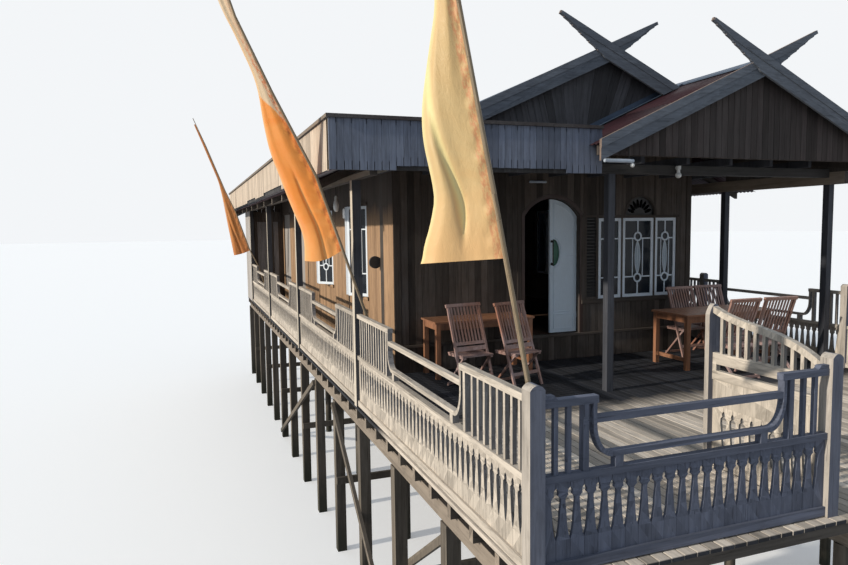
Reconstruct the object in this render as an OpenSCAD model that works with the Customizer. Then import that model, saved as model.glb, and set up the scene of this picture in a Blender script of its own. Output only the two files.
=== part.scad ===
// Timber stilt house with a fretwork veranda railing, a porch gable and a main gable.
// The working frame has its zero at the near corner post, on top of the deck:
// +X runs along the front railing, +Y along the river veranda, +Z up.
// placed() moves it so that the finished house stands on its feet, centred on the origin.

/* [Site] */
// Height of the deck above the stilt feet
deck_h = 2300; // [1800:50:3000]
// Distance between river veranda posts
bay = 3900; // [3600:50:4200]
// Side of a stilt
stilt_w = 120; // [90:10:160]

/* [House] */
// Width of the enclosed rooms, outside
house_w = 4840; // [4400:20:5200]
// Width of each veranda, from the deck edge to the wall
veranda_w = 860; // [800:10:900]
// Distance from the near corner post to the front wall
wall_y = 5260; // [5200:10:5400]
// Height of the room floor above the deck
floor_h = 370; // [250:10:420]
// Thickness of the framed board walls
wall_t = 70; // [60:5:90]
// Height of the wall plates above the deck
plate_h = 2660; // [2640:10:2700]

/* [Roof] */
// Pitch of all the roof slopes
pitch = 24.5; // [22:0.5:27]
// Height of the main ridge above the deck
ridge_h = 4170; // [4000:10:4400]
// Height of the porch ridge above the deck
porch_ridge_h = 3840; // [3700:10:3900]
// Thickness of the roof sheeting
sheet_t = 25; // [15:5:40]

/* [Railing] */
// Height of the raised parts of the railing
rail_h = 1030; // [950:10:1100]
// Side of the railing corner posts
post_w = 95; // [80:5:110]
// Distance between the cut-outs of the lower boards
cut_pitch = 93; // [80:5:120]
// Distance between the balusters
baluster_pitch = 90; // [70:5:120]

/* [Door] */
// Width of one door leaf
leaf_w = 450; // [400:10:480]
// Height of the leaves at the meeting edge
leaf_h = 1955; // [1850:5:2000]
// Radius of the arched head
arch_r = 530; // [500:10:600]

/* [Hidden] */

// Lines of the plan
house_x0 = veranda_w;
house_x1 = house_x0 + house_w;
mid_x = (house_x0 + house_x1) / 2;
deck_x0 = -50;
deck_x1 = 2 * mid_x - deck_x0;
river_bays = 4;
veranda_end = river_bays * bay;
back_y = veranda_end + 1300;
roof_end = back_y + 300;
sheet_end = roof_end - 30;
deck_y0 = -110;

// Roof lines: the eave boards stand beyond the slopes
tan_p = tan(pitch);
fascia_t = 30;
fascia_x0 = -455;
fascia_x1 = 2 * mid_x - fascia_x0;
fascia_y0 = 3060;
fascia_z0 = 2515;
fascia_z1 = 3000;
front_end = 2560;
cap_t = 35;
cap_out = 25;
gable_y = 4040;
board_t = 30;
porch_x = 4600;
porch_gable_y = 2838;
porch_half = 2210;
porch_back = wall_y + 240;
porch_post_y = 3410;
barge_d = 205;
main_finial_l = 780;
porch_finial_l = 860;
rafter_h = 95;

// Where the left porch slope meets the main slope on the land side
valley_x = (ridge_h - porch_ridge_h) / (2 * tan_p) + (mid_x + porch_x) / 2;

// Deck build-up
plank_t = 28;
joist_h = 100;
bearer_h = 140;
joist_step = 390;
joist_z = -plank_t - joist_h;
bearer_z = joist_z - bearer_h;

// Door position: two leaves that meet at door_x
door_x = 3250;
door_gap = 6;
leaf_t = 36;
leaf_y = wall_y + wall_t + 6;
leaf_z = floor_h + 20;
half_open = leaf_w + door_gap / 2 + 5;
door_x0 = door_x - half_open;
door_x1 = door_x + half_open;
arch_top = leaf_z + leaf_h + 12;
jamb_w = 65;
arch_spring = arch_top - (arch_r + 12) + sqrt(pow(arch_r + 12, 2) - pow(half_open, 2));

// Front window and louvre panel in the right-hand front wall
sash_z0 = 870;
sash_z1 = 2065;
window_x0 = 4025;
window_x1 = 5445;
louvre_x0 = 3785;
louvre_x1 = 3985;
louvre_z0 = 900;
louvre_z1 = 2100;
sash_t = 40;
sash_bar = 45;

// Side wall windows: start and width along Y
side_windows = [[6620, 860], [9100, 860]];
side_z0 = 920;
side_z1 = 2300;
panel_rows = [12200, 14350];
panel_w = 1100;
panel_z0 = 420;
panel_z1 = 2350;

// Banner poles: X, Z and radius from the deck up; each stands at its Y and leans forward
pole_1 = [[300, 0, 17], [100, 1060, 16], [-130, 2140, 15], [-350, 3150, 13], [-560, 3950, 11],
    [-800, 4750, 8]];
pole_2 = [[440, 0, 17], [75, 1040, 16], [-215, 1790, 15], [-505, 2550, 14], [-940, 3340, 12],
    [-1260, 3970, 10], [-1560, 4800, 8]];
pole_3 = [[400, 0, 17], [75, 1030, 16], [-140, 1470, 15], [-475, 2470, 14], [-730, 3040, 12],
    [-1150, 4120, 10], [-1440, 4800, 8]];
pole_y = [285, 4063, 15206];
pole_lean = [2, 14.3, 11.3];

// Bounding box centre in plan
tip_run = [pole_2[5][0] - pole_2[6][0], pole_2[6][1] - pole_2[5][1]];
tip_x = pole_2[6][0] - pole_2[6][2] * tip_run[1] / norm(tip_run);
centre_x = (tip_x + fascia_x1 + cap_out) / 2;
centre_y = (deck_y0 + roof_end + board_t) / 2;

// Helpers
module placed() { translate([-centre_x, -centre_y, deck_h]) children(); }

module slab(x0, x1, y0, y1, z0, z1) {
    translate([x0, y0, z0]) cube([x1 - x0, y1 - y0, z1 - z0]);
}

// Extrudes an outline drawn in X and Z from y0 over the thickness t
module upright(y0, t) {
    translate([0, y0 + t, 0]) rotate([90, 0, 0]) linear_extrude(t) children();
}

// Extrudes an outline drawn in Y and Z from x0 over the thickness t
module sideways(x0, t) {
    translate([x0, 0, 0]) rotate([90, 0, 90]) linear_extrude(t) children();
}

module rect(x0, x1, z0, z1) { translate([x0, z0]) square([x1 - x0, z1 - z0]); }

// Height of the top of the main roof and of the porch roof
function main_z(x) = ridge_h - abs(x - mid_x) * tan_p;
function porch_z(x) = porch_ridge_h - abs(x - porch_x) * tan_p;

// Sub-structure
stilt_rows = 14;
row_step = 1300;
stilt_x = -10;
land_stilt_x = 2 * mid_x - stilt_x - stilt_w;
inner_lines = [960, 2480, 2 * mid_x - 2480, 2 * mid_x - 960];

module stilts() {
    color("dimgray") placed() {
        for (i = [0 : stilt_rows - 1], x = [stilt_x, land_stilt_x])
            slab(x, x + stilt_w, i * row_step, i * row_step + stilt_w, -deck_h, bearer_z);
        for (i = [0 : 2 : stilt_rows - 1], x = inner_lines)
            translate([x, i * row_step + stilt_w / 2, -deck_h])
                cylinder(h = deck_h + bearer_z, r = stilt_w / 2, $fn = 32);
    }
}

// A brace between two points of the river row, given as Y and Z
module brace(a, b, w, x0, t) {
    d = b - a;
    len = norm(d);
    sideways(x0, t) translate(a) rotate(atan2(d[1], d[0])) translate([0, -w / 2]) square([len, w]);
}

module stilt_braces() {
    top = bearer_z - 45;
    color("rosybrown") placed() {
        brace([6560, top], [10400, -2150], 70, stilt_x - 40, 40);
        brace([5240, top], [2660, -2150], 70, stilt_x - 40, 40);
        brace([1360, top], [3900, -2150], 70, stilt_x + stilt_w, 40);
        brace([6560, top], [10400, -2150], 70, land_stilt_x + stilt_w, 40);
        brace([5240, top], [2660, -2150], 70, land_stilt_x + stilt_w, 40);
        for (i = [2 : 2 : 12])
            slab(stilt_x, 2 * mid_x - stilt_x, i * row_step - 45, i * row_step, -1370, -1280);
    }
}

// Bearers run over the rows of stilts, from the porch to the back
module bearers() {
    color("gray") placed()
        for (x = concat([stilt_x + stilt_w / 2], inner_lines, [land_stilt_x + stilt_w / 2]))
            slab(x - 45, x + 45, deck_y0 + 40, back_y - 20, bearer_z, joist_z);
}

// Joists cross the bearers, and their ends show along both sides
module deck_joists() {
    color("tan") placed()
        for (y = [deck_y0 + 50 : joist_step : back_y - 60])
            slab(deck_x0, deck_x1, y, y + 60, joist_z, -plank_t);
}

module porch_deck() {
    color("darkgray") placed() slab(deck_x0, deck_x1, deck_y0, wall_y, -plank_t, 0);
}

module veranda_decks() {
    color("darkgray") placed() {
        slab(deck_x0, house_x0, wall_y, back_y, -plank_t, 0);
        slab(house_x1, deck_x1, wall_y, back_y, -plank_t, 0);
    }
}

floor_t = 30;

module floor_bearers() {
    color("sienna") placed()
        for (i = [0 : 8])
            slab(house_x0 + wall_t, house_x1 - wall_t, wall_y + wall_t + 60 + i * 1400,
                wall_y + wall_t + 140 + i * 1400, -plank_t, floor_h - floor_t);
}

module house_floor() {
    color("peru") placed()
        slab(house_x0 + wall_t, house_x1 - wall_t, wall_y + wall_t, back_y - wall_t,
            floor_h - floor_t, floor_h);
}

// Walls
// Height of the underside of the main roof sheets
function under_z(x) = main_z(x) - sheet_t / cos(pitch) - 1;

side_wall_z = under_z(house_x0) - rafter_h;

module front_wall_left() {
    color("saddlebrown") placed() upright(wall_y, wall_t)
        polygon([[house_x0, -plank_t], [door_x0, -plank_t], [door_x0, under_z(door_x0)],
            [house_x0, under_z(house_x0)]]);
}

// Half-width of the arched head at a height below its top, as an outline
module arch_head(x_mid, top, r, half) {
    intersection() {
        translate([x_mid, top - r]) circle(r = r, $fn = 96);
        rect(x_mid - half, x_mid + half, top - r, top + 1);
    }
}

module front_wall_over_door() {
    color("saddlebrown") placed() upright(wall_y, wall_t) difference() {
        polygon([[door_x0, arch_spring], [door_x1, arch_spring], [door_x1, under_z(door_x1)],
            [mid_x, under_z(mid_x)], [door_x0, under_z(door_x0)]]);
        arch_head(door_x, arch_top, arch_r + 12, half_open);
    }
}

module front_wall_right() {
    color("saddlebrown") placed() upright(wall_y, wall_t) difference() {
        polygon([[door_x1, -plank_t], [house_x1, -plank_t], [house_x1, under_z(house_x1)],
            [door_x1, under_z(door_x1)]]);
        rect(louvre_x0, louvre_x1, louvre_z0, louvre_z1);
        for (s = sashes) rect(s[0], s[1], sash_z0, sash_z1);
        intersection() {
            translate([vent_x, sash_z1 + 50]) circle(r = vent_r, $fn = 64);
            rect(vent_x - vent_r, vent_x + vent_r, sash_z1 + 50, plate_h);
        }
    }
}

vent_x = 4775;
vent_r = 270;

module door_threshold() {
    color("saddlebrown") placed()
        slab(door_x0, door_x1, wall_y, wall_y + wall_t, -plank_t, floor_h + 8);
}

// A long side wall, drawn in Y and Z, with its windows
module side_wall_outline() {
    difference() {
        rect(wall_y + wall_t, back_y - wall_t, -plank_t, side_wall_z);
        for (w = side_windows) rect(w[0], w[0] + w[1], side_z0, side_z1);
        for (y = panel_rows) rect(y, y + panel_w, panel_z0, panel_z1);
    }
}

module river_wall() {
    color("peru") placed() sideways(house_x0, wall_t) side_wall_outline();
}

module land_wall() {
    color("sienna") placed() sideways(house_x1 - wall_t, wall_t) side_wall_outline();
}

back_window_w = 1400;
back_half = back_window_w / 2;

module back_wall() {
    color("sienna") placed() upright(back_y - wall_t, wall_t) difference() {
        rect(house_x0, house_x1, -plank_t, plate_h);
        rect(mid_x - back_half, mid_x + back_half, side_z0, sash_z1);
    }
}

// The last stretch of both verandas is closed in with boards
module end_bay_walls() {
    y0 = veranda_end + veranda_post_w / 2 + 2;
    cross_top = min(post_top, land_beam_z0);
    color("bisque") placed() for (x = [0, 2 * mid_x]) translate([x, 0, 0])
        mirror([x == 0 ? 0 : 1, 0, 0]) {
            slab(-40, 0, y0, back_y, 0, post_top);
            for (y = [y0, back_y - 40]) slab(-40, house_x0, y, y + 40, 0, cross_top);
        }
}

// Door
module door_frame() {
    color("maroon") placed() {
        for (x = [door_x0 - jamb_w - 25, door_x1 + 25])
            slab(x, x + jamb_w, wall_y + wall_t, leaf_y + leaf_t, floor_h, arch_top + 60);
        upright(wall_y - 20, 20) difference() {
            union() {
                arch_head(door_x, arch_top + 55, arch_r + 67, half_open + 50);
                rect(door_x - half_open - 50, door_x + half_open + 50, floor_h, arch_spring);
            }
            arch_head(door_x, arch_top, arch_r + 12, half_open);
            rect(door_x - half_open, door_x + half_open, floor_h - 1, arch_spring + 1);
        }
    }
}

// Outline of the right-hand leaf, from the meeting edge at 0 to the hinge edge at leaf_w
module leaf_outline() {
    difference() {
        intersection() {
            rect(0, leaf_w, 0, leaf_h);
            union() {
                translate([0, leaf_h - arch_r]) circle(r = arch_r, $fn = 96);
                rect(0, leaf_w, 0, leaf_h - arch_r);
            }
        }
        intersection() {
            translate([55, glass_z]) scale([1, 1.9]) circle(r = glass_r, $fn = 48);
            rect(55, leaf_w, 0, leaf_h);
        }
    }
}

glass_z = 1180;
glass_r = 105;
pin_r = 9;

// A leaf with its hinge axis on the local Z axis and its meeting edge towards -X
module leaf_body() {
    translate([-leaf_w - 5, -leaf_t / 2, 0]) upright(0, leaf_t) leaf_outline();
    for (z = [200, 1000, 1500]) translate([0, 0, z]) cylinder(h = 90, r = pin_r, $fn = 32);
}

module leaf_glass() {
    translate([-leaf_w - 5, -4, 0]) upright(0, 8) intersection() {
        translate([55, glass_z]) scale([1, 1.9]) circle(r = glass_r - 1, $fn = 48);
        rect(56, leaf_w, 0, leaf_h);
    }
}

hinge_y = leaf_y + leaf_t / 2;
hinge_right = [door_x + door_gap / 2 + leaf_w + 5, hinge_y, leaf_z];
hinge_left = [door_x - door_gap / 2 - leaf_w - 5, hinge_y, leaf_z];

module door_leaf_right() { color("white") placed() translate(hinge_right) leaf_body(); }

// The left-hand leaf stands open into the room
module door_leaf_left() {
    color("white") placed() translate(hinge_left) rotate(90) mirror([1, 0, 0]) leaf_body();
}

module door_glass_right() { color("seagreen") placed() translate(hinge_right) leaf_glass(); }

module door_glass_left() {
    color("seagreen") placed() translate(hinge_left) rotate(90) mirror([1, 0, 0]) leaf_glass();
}

// Windows
module sash_outline(x0, x1, z0, z1) {
    difference() {
        rect(x0, x1, z0, z1);
        rect(x0 + sash_bar, x1 - sash_bar, z0 + sash_bar, z1 - sash_bar);
    }
}

sashes = [[4030, 4430], [4460, 5020], [5050, 5440]];
sash_y = wall_y - 5;

// Glass pane of a sash, in the same plane as its outline
module pane(x0, x1, z0, z1) { rect(x0 + sash_bar, x1 - sash_bar, z0 + sash_bar, z1 - sash_bar); }

// The leaves of the river windows stand ajar, hung on their outer edges
ajar_angle = 33;

module sash_leaf(w) { sideways(0, sash_t) sash_outline(0, w / 2 - 4, side_z0, side_z1); }

module pane_leaf(w) { sideways(16, 6) pane(0, w / 2 - 4, side_z0, side_z1); }

module window_sashes() {
    color("white") placed() {
        upright(sash_y, sash_t) for (s = sashes) sash_outline(s[0], s[1], sash_z0, sash_z1);
        for (w = side_windows) {
            translate([house_x0, w[0], 0]) rotate(ajar_angle) sash_leaf(w[1]);
            translate([house_x0, w[0] + w[1], 0]) mirror([0, 1, 0]) rotate(ajar_angle) sash_leaf(w[1]);
            for (i = [0, 1])
                translate([house_x1 - 5 - sash_t, w[0] + i * (w[1] / 2 + 4), 0]) sash_leaf(w[1]);
        }
        for (i = [0, 1]) translate([mid_x - back_half + i * (back_half + 4), back_y - 5 - sash_t, 0])
            upright(0, sash_t) sash_outline(0, back_half - 4, side_z0, sash_z1);
    }
}

module window_glass() {
    color("lightcyan") placed() {
        upright(sash_y + 16, 6) for (s = sashes) pane(s[0], s[1], sash_z0, sash_z1);
        for (w = side_windows) {
            translate([house_x0, w[0], 0]) rotate(ajar_angle) pane_leaf(w[1]);
            translate([house_x0, w[0] + w[1], 0]) mirror([0, 1, 0]) rotate(ajar_angle) pane_leaf(w[1]);
            for (i = [0, 1])
                translate([house_x1 - 5 - sash_t, w[0] + i * (w[1] / 2 + 4), 0]) pane_leaf(w[1]);
        }
        for (i = [0, 1]) translate([mid_x - back_half + i * (back_half + 4), back_y - 5 - sash_t, 0])
            upright(16, 6) pane(0, back_half - 4, side_z0, sash_z1);
    }
}

module vent_panels() {
    color("black") placed() {
        upright(wall_y + 20, 20) intersection() {
            difference() {
                translate([vent_x, sash_z1 + 50]) circle(r = vent_r - 1, $fn = 64);
                for (a = [20 : 20 : 160])
                    translate([vent_x, sash_z1 + 50]) rotate(a) translate([vent_r * 0.62, 0])
                        scale([2.6, 1]) circle(r = 26, $fn = 24);
            }
            rect(vent_x - vent_r, vent_x + vent_r, sash_z1 + 50, plate_h);
        }
        upright(wall_y + 10, 30) rect(louvre_x0, louvre_x1, louvre_z0, louvre_z1);
    }
}

module wall_shutters() {
    color("lavender") placed()
        for (y = panel_rows, i = [0, 1], x = [house_x0 + 15, house_x1 - 50])
            slab(x, x + 35, y + i * (panel_w / 2 + 2), y + panel_w / 2 - 2 + i * (panel_w / 2 + 2),
                panel_z0, panel_z1);
}

disc_r = 87;

// A round black plate that faces the porch, on the river wall near the front corner
module wall_disc() {
    color("black") placed() translate([house_x0 - disc_r, 5940, 1480])
        rotate([90, 0, 0]) cylinder(h = 40, r = disc_r, $fn = 64);
}

// Posts and beams
post_top = 2478;
veranda_post_w = 95;
river_beam_z1 = under_z(-40) - rafter_h;
land_post_x = 6320;
land_beam_z0 = 2460;
land_beam_z1 = under_z(land_post_x + 90) - rafter_h;
porch_beam_h = 110;

module roof_posts() {
    color("dimgray") placed() {
        for (i = [1 : river_bays])
            slab(-veranda_post_w / 2, veranda_post_w / 2, i * bay - veranda_post_w / 2,
                i * bay + veranda_post_w / 2, 0, post_top);
        slab(2860, 2950, porch_post_y - 45, porch_post_y + 45, 0, plate_h - porch_beam_h);
        for (y = [porch_post_y - 45, 5165, 7750, 10350, 12950, 15550])
            slab(land_post_x, land_post_x + 90, y, y + 90, 0, land_beam_z0);
    }
}

module eave_beams() {
    color("dimgray") placed() {
        slab(-40, 40, 3150, back_y, post_top, river_beam_z1);
        slab(land_post_x, land_post_x + 90, 3150, back_y, land_beam_z0, land_beam_z1);
    }
}

module porch_beam() {
    color("dimgray") placed()
        slab(-400, land_post_x, porch_post_y - 40, porch_post_y + 40, plate_h - porch_beam_h, plate_h);
}

module ceiling_joists() {
    color("dimgray") placed()
        for (x = [620 : 640 : 5900]) slab(x, x + 50, 3200, wall_y, plate_h, plate_h + 90);
}

// Rafters under the main slopes, which lean on the ridge board
rafter_rows = 11;
ridge_t = 40;
rafter_end = fascia_x0 + fascia_t + 30;

module rafter_outline(xa, xb) {
    polygon([[xa, under_z(xa)], [xb, under_z(xb)], [xb, under_z(xb) - rafter_h],
        [xa, under_z(xa) - rafter_h]]);
}

module rafters() {
    color("dimgray") placed() {
        for (i = [0 : rafter_rows - 1]) upright(wall_y + 300 + i * 1150, 50) {
            rafter_outline(mid_x - ridge_t / 2, rafter_end);
            rafter_outline(mid_x + ridge_t / 2, 2 * mid_x - rafter_end);
        }
        for (y = [4220, 4760]) upright(y, 50) rafter_outline(mid_x - ridge_t / 2, rafter_end);
    }
}

ridge_spans = [[gable_y + 90, wall_y], [wall_y + wall_t, back_y - wall_t],
    [back_y - wall_t + board_t, sheet_end]];

module ridge_board() {
    t = sheet_t / cos(pitch);
    color("dimgray") placed() for (r = ridge_spans) upright(r[0], r[1] - r[0])
        polygon([[mid_x - ridge_t / 2, under_z(mid_x - ridge_t / 2)], [mid_x, ridge_h - t - 1],
            [mid_x + ridge_t / 2, under_z(mid_x + ridge_t / 2)], [mid_x + ridge_t / 2, ridge_h - 250],
            [mid_x - ridge_t / 2, ridge_h - 250]]);
}

// A sloping sheet between two X lines of a roof, drawn in X and Z
module slope_outline(xa, za, xb, zb) {
    t = sheet_t / cos(pitch);
    polygon([[xa, za], [xb, zb], [xb, zb - t], [xa, za - t]]);
}

module main_roof_river() {
    x0 = fascia_x0 + fascia_t + 5;
    color("brown") placed() upright(gable_y - 50, sheet_end - gable_y + 50)
        slope_outline(mid_x, ridge_h, x0, main_z(x0));
}

module main_roof_land() {
    x1 = fascia_x1 - fascia_t - 5;
    color("brown") placed() {
        upright(gable_y - 50, sheet_end - gable_y + 50)
            slope_outline(mid_x, ridge_h, valley_x, main_z(valley_x));
        upright(wall_y - 60, sheet_end - wall_y + 60)
            slope_outline(valley_x - 1, main_z(valley_x - 1), x1, main_z(x1));
    }
}

module porch_roof_left() {
    x0 = porch_x - porch_half;
    xf = front_end + 10;
    yf = fascia_y0 - cap_out - 5;
    xv = valley_x + 0.5 * sheet_t / sin(pitch) + 2;
    xc = xv + 25;
    color("brown") placed() {
        upright(porch_gable_y + 30, yf - porch_gable_y - 30)
            slope_outline(porch_x, porch_ridge_h, x0, porch_z(x0));
        upright(yf, gable_y - 55 - yf)
            slope_outline(porch_x, porch_ridge_h, xf, porch_z(xf));
        upright(porch_back - 30, 30)
            polygon([[xc, porch_z(xc) - 20], [porch_x, porch_ridge_h - 20],
                [porch_x, main_z(porch_x) + 1], [xc, main_z(xc) + 1]]);
        upright(gable_y - 56, porch_back - gable_y + 56)
            slope_outline(porch_x, porch_ridge_h, xv, porch_z(xv));
    }
}

module porch_roof_right() {
    x1 = porch_x + porch_half;
    color("brown") placed() {
        upright(porch_gable_y + 30, porch_back - porch_gable_y - 30)
            slope_outline(porch_x, porch_ridge_h, x1, porch_z(x1));
        upright(porch_back - 30, 30)
            polygon([[porch_x, porch_ridge_h - 20], [x1 - 20, porch_z(x1 - 20) - 20],
                [x1 - 20, main_z(x1 - 20) + 1], [porch_x, main_z(porch_x) + 1]]);
    }
}

module lean_roof() {
    color("brown") placed() sideways(fascia_x0 + fascia_t, front_end - fascia_x0 - fascia_t)
        polygon([[fascia_y0 + fascia_t, 2760], [gable_y - 52, 2915], [gable_y - 52, 2890],
            [fascia_y0 + fascia_t, 2735]]);
}

cap_w = 150;

// Folded ridge cap, drawn in X and Z
module ridge_cap_outline(x, z) {
    polygon([[x, z + 18], [x + cap_w, z + 18 - cap_w * tan_p], [x + cap_w, z + 1 - cap_w * tan_p],
        [x, z + 1], [x - cap_w, z + 1 - cap_w * tan_p], [x - cap_w, z + 18 - cap_w * tan_p]]);
}

module ridge_caps() {
    color("slategray") placed() {
        upright(gable_y, sheet_end - gable_y) ridge_cap_outline(mid_x, ridge_h);
        upright(porch_gable_y + 60, porch_back - porch_gable_y - 60)
            ridge_cap_outline(porch_x, porch_ridge_h);
    }
}

// Gables
module main_gable() {
    t = sheet_t / cos(pitch) + 2;
    x0 = 330;
    x1 = valley_x - 60;
    upright(gable_y + 60, board_t)
        polygon([[x0, plate_h + 90], [x0, main_z(x0) - t], [mid_x, ridge_h - t],
            [x1, main_z(x1) - t], [x1, porch_z(x1) - 40], [2500, porch_z(2500) - 40],
            [2500, plate_h + 90]]);
}

module porch_gable() {
    t = sheet_t / cos(pitch) + 2;
    z0 = 2710;
    reach = porch_half - 40;
    upright(porch_gable_y + 110, board_t)
        polygon([[porch_x - reach, z0], [porch_x - reach, porch_z(porch_x - reach) - t],
            [porch_x, porch_ridge_h - t], [porch_x + reach, porch_z(porch_x + reach) - t],
            [porch_x + reach, z0]]);
}

module back_gable() {
    t = sheet_t / cos(pitch) + 2;
    reach = (ridge_h - t - plate_h) / tan_p;
    upright(back_y - wall_t, board_t)
        polygon([[mid_x - reach, plate_h], [mid_x, ridge_h - t], [mid_x + reach, plate_h]]);
}

// Boards that close the porch's land side between its eave beam and its roof
module porch_frieze() {
    x0 = land_post_x + 30;
    z1 = porch_z(x0 + 20) - sheet_t / cos(pitch) - 4;
    slab(x0, x0 + 20, porch_gable_y + 112 + board_t, wall_y - 65, land_beam_z1 + 0.2, z1);
    slab(x0, x0 + 20, wall_y - 62, porch_back - 32, main_z(x0) + 1, z1);
}

module gable_walls() {
    color("dimgray") placed() {
        main_gable();
        porch_gable();
        back_gable();
        porch_frieze();
    }
}

// One bargeboard along u, from its plumb-cut eave end up to the crossing at 0 and on as a finial:
// the finial's underside is carved in rounded steps that narrow towards its tip
finial_steps = 5;
upper_band = 84;

module bargeboard_outline(len, finial) {
    step = finial * 0.92 / finial_steps;
    drop = (barge_d - 50) / finial_steps;
    polygon(concat([[-len, 0], [finial, 0], [finial, -40]],
        [for (i = [finial_steps : -1 : 1], k = [0 : 4])
            [i * step - [0, 0.08, 0.4, 0.72, 0.86][k] * step,
                -44 - (finial_steps - i + [0, 0.3, 0.42, 0.66, 1][k]) * drop]],
        [[0, -barge_d], [-len - barge_d * tan_p, -barge_d]]));
}

// A pair of crossed bargeboards over a gable; the right-hand one passes in front. Each has a
// narrower board along its upper edge
module bargeboard_pair(x, z, len_left, len_right, y0, finial, band) {
    translate([0, y0, 0]) for (side = [0, 1]) translate([x, -side * board_t, z])
        mirror([side, 0, 0]) {
            upright(0, board_t) rotate(pitch)
                bargeboard_outline(side == 0 ? len_left : len_right, finial);
            if (band) upright(-9, 10) rotate(pitch)
                polygon([[-(side == 0 ? len_left : len_right), 0], [finial - 12, 0],
                    [finial - 12, -30], [finial * 0.55, -upper_band],
                    [-(side == 0 ? len_left : len_right) - upper_band * tan_p, -upper_band]]);
        }
}

module main_boards() {
    difference() {
        bargeboard_pair(mid_x, ridge_h + 30, 3900, 2000, gable_y - 80, main_finial_l, true);
        upright(gable_y - 200, 400)
            polygon([[porch_x, porch_ridge_h + 8], [1500, porch_z(1500) + 8], [1500, 1500],
                [6000, 1500], [6000, porch_ridge_h + 8]]);
        slab(-1000, 3000, gable_y - 200, gable_y + 200, 1000, 2925);
    }
}

module bargeboards() {
    len = porch_half / cos(pitch);
    back_len = (mid_x - fascia_x0 - 60) / cos(pitch);
    color("slategray") placed() {
        main_boards();
        bargeboard_pair(porch_x, porch_ridge_h + 30, len, len, porch_gable_y, porch_finial_l, true);
        bargeboard_pair(mid_x, ridge_h + 30, back_len, back_len, roof_end, main_finial_l, false);
    }
}

// Eave boards: their lower edges step up and down
module river_fascia() {
    color("tan") placed() sideways(fascia_x0, fascia_t)
        polygon([[fascia_y0 + fascia_t, fascia_z0], [6300, fascia_z0], [6300, fascia_z0 + 65],
            [8500, fascia_z0 + 65], [8500, fascia_z0 + 25], [9900, fascia_z0 + 25],
            [9900, fascia_z0 + 60], [11600, fascia_z0 + 60], [11600, fascia_z0 + 15],
            [roof_end - 40, fascia_z0 + 15], [roof_end - 40, fascia_z1],
            [fascia_y0 + fascia_t, fascia_z1]]);
}

module front_fascia() {
    color("slategray") placed() upright(fascia_y0, fascia_t)
        polygon([[fascia_x0, fascia_z0], [210, fascia_z0], [210, fascia_z0 + 45],
            [2110, fascia_z0 + 45], [2110, fascia_z0 + 5], [front_end, fascia_z0 + 5],
            [front_end, fascia_z1], [fascia_x0, fascia_z1]]);
}

land_fascia_y0 = porch_back + 40;

module land_fascia() {
    color("slategray") placed() sideways(fascia_x1 - fascia_t, fascia_t)
        polygon([[land_fascia_y0, fascia_z0], [9700, fascia_z0], [9700, fascia_z0 + 45],
            [13600, fascia_z0 + 45], [13600, fascia_z0], [roof_end - 40, fascia_z0],
            [roof_end - 40, fascia_z1], [land_fascia_y0, fascia_z1]]);
}

module fascia_caps() {
    x0 = fascia_x0 - cap_out;
    x1 = fascia_x1 + cap_out;
    y0 = fascia_y0 - cap_out;
    z1 = fascia_z1 + cap_t;
    color("darkslategray") placed() {
        slab(x0, x0 + 80, y0, roof_end - 40, fascia_z1, z1);
        slab(x0 + 82, front_end, y0, y0 + 80, fascia_z1, z1);
        slab(x1 - 80, x1, land_fascia_y0, roof_end - 40, fascia_z1, z1);
    }
}

// Railing
mid_rail_z0 = 530;
mid_rail_z1 = 572;
base_rail_z0 = 10;
base_rail_z1 = 70;
saddle_z0 = 636;
saddle_t = 32;
curve_t = 24;
curve_w = 130;
curve_h = 205;
stile_w = 38;
top_rail_h = 44;
rail_t = 50;
fret_t = 20;
baluster_w = 28;
bar_drop = 138;
bar_w = 42;
// The front railing is a little lower than the one along the river
front_rail_h = rail_h - 27;

// Right half of one cut-out of the lower boards, from its pointed foot up: a long body, a neck and
// a knob; the seam between two boards runs on below and above it
cut_half = [[1.2, 2], [12, 32], [21, 90], [26, 160], [32, 213], [32, 243], [22, 256], [13, 262],
    [17, 277], [13, 295], [1.2, 307]];

module cut_out(x, z0, foot_z, z1) {
    half = concat([[1.2, z0 - foot_z]], cut_half, [[1.2, z1 - foot_z]]);
    translate([x, foot_z])
        polygon(concat(half, [for (i = [len(half) - 1 : -1 : 0]) [-half[i][0], half[i][1]]]));
}

module fret_boards(len, z0, z1) {
    count = floor((len - 70) / cut_pitch);
    margin = (len - (count - 1) * cut_pitch) / 2;
    difference() {
        rect(0, len, z0, z1);
        for (i = [0 : count - 1])
            cut_out(margin + i * cut_pitch, z0 + 5, z1 - 350, z1 - 5);
    }
}

// A centred plate standing in the X-Z plane
module plate(t) { upright(-t / 2, t) children(); }

// A raised part of the length r from its post: the rail, its balusters and a stile near the dip
module raised_part(r, h, stepped) {
    stile_u = r - 100;
    n = round(stile_u / baluster_pitch);
    step = stile_u / n;
    plate(rail_t) rect(0, r, h - top_rail_h, h);
    if (stepped) plate(rail_t - 8)
        polygon([[0, h - 5], [104, h - 5], [84, h + 8], [70, h + 26], [0, h + 26]]);
    for (i = [1 : n - 1])
        slab(i * step - baluster_w / 2, i * step + baluster_w / 2, -baluster_w / 2,
            baluster_w / 2, mid_rail_z1 - 10, h - top_rail_h + 10);
    slab(stile_u, stile_u + stile_w, -22, 22, mid_rail_z1 - 10, h - top_rail_h + 10);
}

// Points of a quarter of an ellipse, from its left end down to its foot
function quarter(w, h) = [for (i = [0 : 12]) [-w * cos(7.5 * i), -h * sin(7.5 * i)]];

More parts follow.
